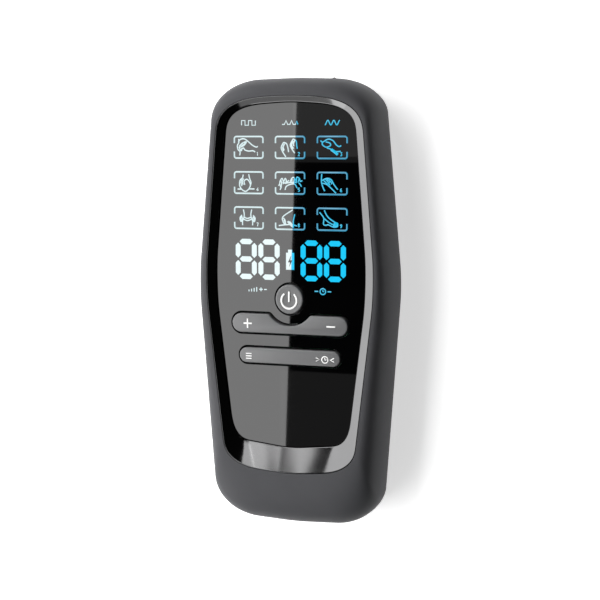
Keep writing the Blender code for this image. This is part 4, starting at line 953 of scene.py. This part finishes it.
LEVEL_Y = 0.0046
LEVELS = [(-0.0143 + 0.0009 * i, LEVEL_Y - 0.0002 + 0.0003 * i) for i in range(4)]
marks = strokes(
    "lit_marks",
    [
        pulses(-HEAD_X, 0.0024, SQUARE),
        pulses(0.0, 0.0027, SPIKE),
        pulses(HEAD_X, 0.0025, WAVE),
        *[[(x, LEVEL_Y - 0.0008), (x, top)] for x, top in LEVELS],
        [(-0.0107, LEVEL_Y), (-0.0095, LEVEL_Y)],
        [(-0.0101, LEVEL_Y - 0.0006), (-0.0101, LEVEL_Y + 0.0006)],
        [(-0.0090, LEVEL_Y), (-0.0081, LEVEL_Y)],
        arc((0.0112, LEVEL_Y), 0.00095, 0, 360, 28),
        [(0.0112, LEVEL_Y + 0.0006), (0.0112, LEVEL_Y), (0.0116, LEVEL_Y)],
        [(0.0084, LEVEL_Y), (0.0096, LEVEL_Y)],
        [(0.0128, LEVEL_Y), (0.0140, LEVEL_Y)],
    ],
    FACE_Z, HINT_STROKE, line_film,
)
for lit in (digits, battery_gauge, symbol_frames, symbols, numbers, marks):
    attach(lit, "case")


# Lead sockets: black mouldings pressed up behind the wall of the top end. Each shows a chamfered collar
# and, deep in its bore, a bright contact sleeve.
socket_plastic = moulded(
    "jack_plastic", (0.020, 0.020, 0.022), (0.028, 0.028, 0.030), (0.34, 0.42), 4200, (0.2, 0.00001)
)
contact_metal = moulded(
    "contact_plating", (0.66, 0.64, 0.58), (0.74, 0.72, 0.66), (0.18, 0.30), 2600, (0.05, 0.00001),
    metallic=1.0,
)


def lying_tube(profile, x, z, steps=48):
    """A closed tube about an axis along +Y, from (radius, y) pairs taken right round its wall."""
    spots = [math.tau * i / steps for i in range(steps)]
    rows = [[Vector((x + r * math.cos(a), y, z + r * math.sin(a))) for a in spots] for r, y in profile]
    return skin(rows, closed=True)


BLOCK_BACK, BORE_RADIUS, BORE_END, COLLAR_CHAMFER, COLLAR_ROOT = 0.004, 0.00122, 0.002, 0.00018, 0.0004
SLEEVE_OUT, SLEEVE_IN, SLEEVE_DEEP, SLEEVE_MOUTH, SLEEVE_LIP = 0.00119, 0.00095, 0.006, 0.0022, 0.0020


for letter, (low, high) in (("a", socket_a), ("b", socket_b)):
    x, mouth, front = (low.x + high.x) / 2, high.y, HALF_L - BLOCK_BACK
    root, edge = front - COLLAR_ROOT, mouth - COLLAR_CHAMFER
    shape = lying_tube(
        [
            (NOSE_RADIUS, root), (NOSE_RADIUS, edge), (NOSE_RADIUS - COLLAR_CHAMFER, mouth),
            (BORE_RADIUS + COLLAR_CHAMFER, mouth), (BORE_RADIUS, edge), (BORE_RADIUS, root),
        ],
        x, SOCKET_Z,
    )
    block = bmesh.new()
    add_block(block, (low.x, low.y, low.z), (high.x, front, high.z))
    body = piece(f"socket_body_{letter}", block)
    carve(body, [lying(f"socket_bore_{letter}", BORE_RADIUS, x, SOCKET_Z, low.y + BORE_END, mouth)])
    shape.from_mesh(body.data)
    bpy.data.objects.remove(body)
    socket = piece(f"socket_{letter}", shape, socket_plastic)
    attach(socket, "case")
    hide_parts(f"output_jack_{letter}")
    sleeve_wall = [
        (SLEEVE_OUT, mouth - SLEEVE_DEEP), (SLEEVE_OUT, mouth - SLEEVE_MOUTH),
        (SLEEVE_IN, mouth - SLEEVE_LIP), (SLEEVE_IN, mouth - SLEEVE_DEEP),
    ]
    sleeve = piece(f"socket_contact_{letter}", lying_tube(sleeve_wall, x, SOCKET_Z), contact_metal)
    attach(sleeve, "case")


# Charging port: a drawn steel shell with a rolled lip, and a black tongue that carries a row of plated
# contacts on each side.
port_steel = moulded(
    "port_steel", (0.52, 0.52, 0.53), (0.60, 0.60, 0.61), (0.20, 0.32), 2400, (0.06, 0.00001), metallic=1.0
)
PORT_WALL, LIP, LIP_ROLL = 0.0003, 0.00012, 0.00004
port_rows = [port_ring(0, port_low.y), port_ring(0, port_high.y - LIP), port_ring(-LIP, port_high.y)]
port_rows += [port_ring(-PORT_WALL + LIP_ROLL, port_high.y), port_ring(-PORT_WALL, port_high.y - LIP)]
port_rows += [port_ring(-PORT_WALL, port_low.y + PORT_WALL)]
port_shell = piece("port_shell", skin(port_rows), port_steel)
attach(port_shell, "case")
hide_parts("charging_port")

tongue_low, tongue_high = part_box("charging_port_tongue")
PAD_HALF, PAD_THICK, PAD_FROM, PAD_TO, CONTACTS, CONTACTS_WIDE = 0.00012, 0.00003, 0.0030, 0.0005, 12, 0.0055
pad = bmesh.new()
for z in (tongue_low.z - 0.00002, tongue_high.z - 0.00001):
    pad_high = (PAD_HALF, tongue_high.y - PAD_TO, z + PAD_THICK)
    add_block(pad, (-PAD_HALF, tongue_high.y - PAD_FROM, z), pad_high)
contacts = piece("port_contacts", pad, contact_metal)
run_tree(contacts, REPEAT, Columns=CONTACTS, Rows=1, Width=CONTACTS_WIDE, Height=0.0, Material=contact_metal)
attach(contacts, "case")


# Case screws: four zinc-plated pan heads with a cross recess, deep in their wells in the back.
screw_steel = moulded(
    "screw_steel", (0.42, 0.42, 0.43), (0.50, 0.50, 0.51), (0.28, 0.40), 2600, (0.08, 0.00001), metallic=1.0
)
screw_low, screw_high = screw_boxes[0]
for low, high in screw_boxes:
    screw_low = Vector(map(min, screw_low, low))
    screw_high = Vector(map(max, screw_high, high))
middle = (screw_low + screw_high) / 2
HEAD_RADIUS, HEAD_SIDE, HEAD_DOME, SHANK, POINT = 0.0020, 0.0005, 0.0008, 0.001, 0.0004
head_low, seat, tip = screw_low.z, screw_low.z + HEAD_SIDE + HEAD_DOME, screw_high.z
side_low = seat - HEAD_SIDE
profile = [(0, tip), (POINT, tip), (SHANK, tip - SHANK), (SHANK, seat)]
profile += [(HEAD_RADIUS, seat), (HEAD_RADIUS, side_low)]
profile += [(HEAD_RADIUS * math.cos(a), side_low - HEAD_DOME * math.sin(a)) for a in (0.3, 0.6, 0.9, 1.15)]
profile += [(0.0006, head_low), (0, head_low)]
screws = piece("case_screws", turned(profile, (middle.x, middle.y), 36), screw_steel)
SLOT_LONG, SLOT_WIDE, SLOT_DEEP = 0.0011, 0.00022, 0.0007
slots = []
for half_x, half_y in ((SLOT_LONG, SLOT_WIDE), (SLOT_WIDE, SLOT_LONG)):
    cross = bmesh.new()
    slot_low = (middle.x - half_x, middle.y - half_y, head_low - SHANK)
    add_block(cross, slot_low, (middle.x + half_x, middle.y + half_y, head_low + SLOT_DEEP))
    slots.append(piece("cross", cross))
carve(screws, slots)
run_tree(
    screws, REPEAT, Columns=2, Rows=2, Width=screw_high.x - screw_low.x - 2 * HEAD_RADIUS,
    Height=screw_high.y - screw_low.y - 2 * HEAD_RADIUS, Material=screw_steel,
)
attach(screws, "case")
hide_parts(*[f"case_screw_{i}" for i in (1, 2, 3, 4)])


# Rating label: brushed foil, left blank but for a printed frame and its ruled lines.
label_foil = moulded(
    "label_foil", (0.40, 0.41, 0.42), (0.48, 0.49, 0.50), (0.34, 0.48), 1800, (0.15, 0.00001), metallic=0.6
)


def refinish(material, *names):
    """Coats nodes that keep their CAD shapes."""
    for name in names:
        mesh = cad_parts[name].data
        mesh.materials.clear()
        mesh.materials.append(material)


refinish(label_foil, "rating_label")
label_ink = moulded(
    "label_ink", (0.03, 0.03, 0.032), (0.045, 0.045, 0.047), (0.45, 0.55), 3000, (0.05, 0.00001)
)
LABEL_MARGIN, LABEL_STROKE, RULES = 0.0012, 0.00022, (0.0105, 0.0035, -0.0035, -0.0105)
half_x = (label_high.x - label_low.x) / 2 - LABEL_MARGIN
half_y = (label_high.y - label_low.y) / 2 - LABEL_MARGIN
border = rounded_loop(LABEL_MIDDLE, (2 * half_x, 2 * half_y), LABEL_MARGIN, 6)
lines = [border + border[:1]]
lines += [[(LABEL_MIDDLE[0] + x, LABEL_MIDDLE[1] + rise) for x in (-half_x, half_x)] for rise in RULES]
label_print = strokes("label_print", lines, label_low.z - INK, LABEL_STROKE, label_ink)
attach(label_print, "case")


# Inside: the board, the cell and the small parts keep their CAD shapes and get their real finishes.
for *finish, nodes in (
    ("guide_plastic", (0.78, 0.78, 0.76), (0.84, 0.84, 0.82), (0.45, 0.55), 3000,
     ("display_light_guide", "battery_plug")),
    ("diffuser_film", (0.80, 0.83, 0.85), (0.86, 0.89, 0.91), (0.30, 0.40), 2500, (0.05, 0.00001),
     ("display_film",)),
    ("tape_foam", (0.02, 0.02, 0.02), (0.04, 0.04, 0.04), (0.8, 0.9), 2600, (0.4, 0.00002), ("lens_tape",)),
    ("pad_foam", (0.09, 0.09, 0.09), (0.15, 0.15, 0.15), (0.9, 0.97), 1800, (0.6, 0.00005), ("battery_pad",)),
    ("board_laminate", (0.014, 0.10, 0.045), (0.024, 0.15, 0.07), (0.35, 0.5), 1500, ("main_board",)),
    ("dome_rubber", (0.48, 0.48, 0.45), (0.58, 0.58, 0.55), (0.55, 0.68), 2400, (0.15, 0.00001),
     ("power_dome", "plus_dome", "minus_dome", "mode_dome", "time_dome")),
    ("chip_resin", (0.015, 0.015, 0.017), (0.028, 0.028, 0.030), (0.42, 0.55), 4200, (0.2, 0.00001),
     ("controller_chip", "charger_chip", "buzzer", "charging_port_tongue")),
    ("ferrite", (0.06, 0.06, 0.065), (0.11, 0.11, 0.12), (0.4, 0.55), 2600, (0.3, 0.00002),
     ("boost_inductor", "transformer_a", "transformer_b")),
    ("red_lead", (0.52, 0.02, 0.015), (0.64, 0.035, 0.025), (0.42, 0.52), 2600,
     ("battery_lead_positive",)),
    ("black_lead", (0.014, 0.014, 0.014), (0.026, 0.026, 0.026), (0.42, 0.52), 2600,
     ("battery_lead_negative",)),
):
    refinish(moulded(*finish), *nodes)
pouch = moulded(
    "battery_pouch", (0.55, 0.56, 0.58), (0.66, 0.67, 0.69), (0.28, 0.42), 500, (0.3, 0.00005), metallic=0.8
)
refinish(pouch, "battery_cell")
refinish(screw_steel, "board_screw_1", "board_screw_2", "board_screw_3")
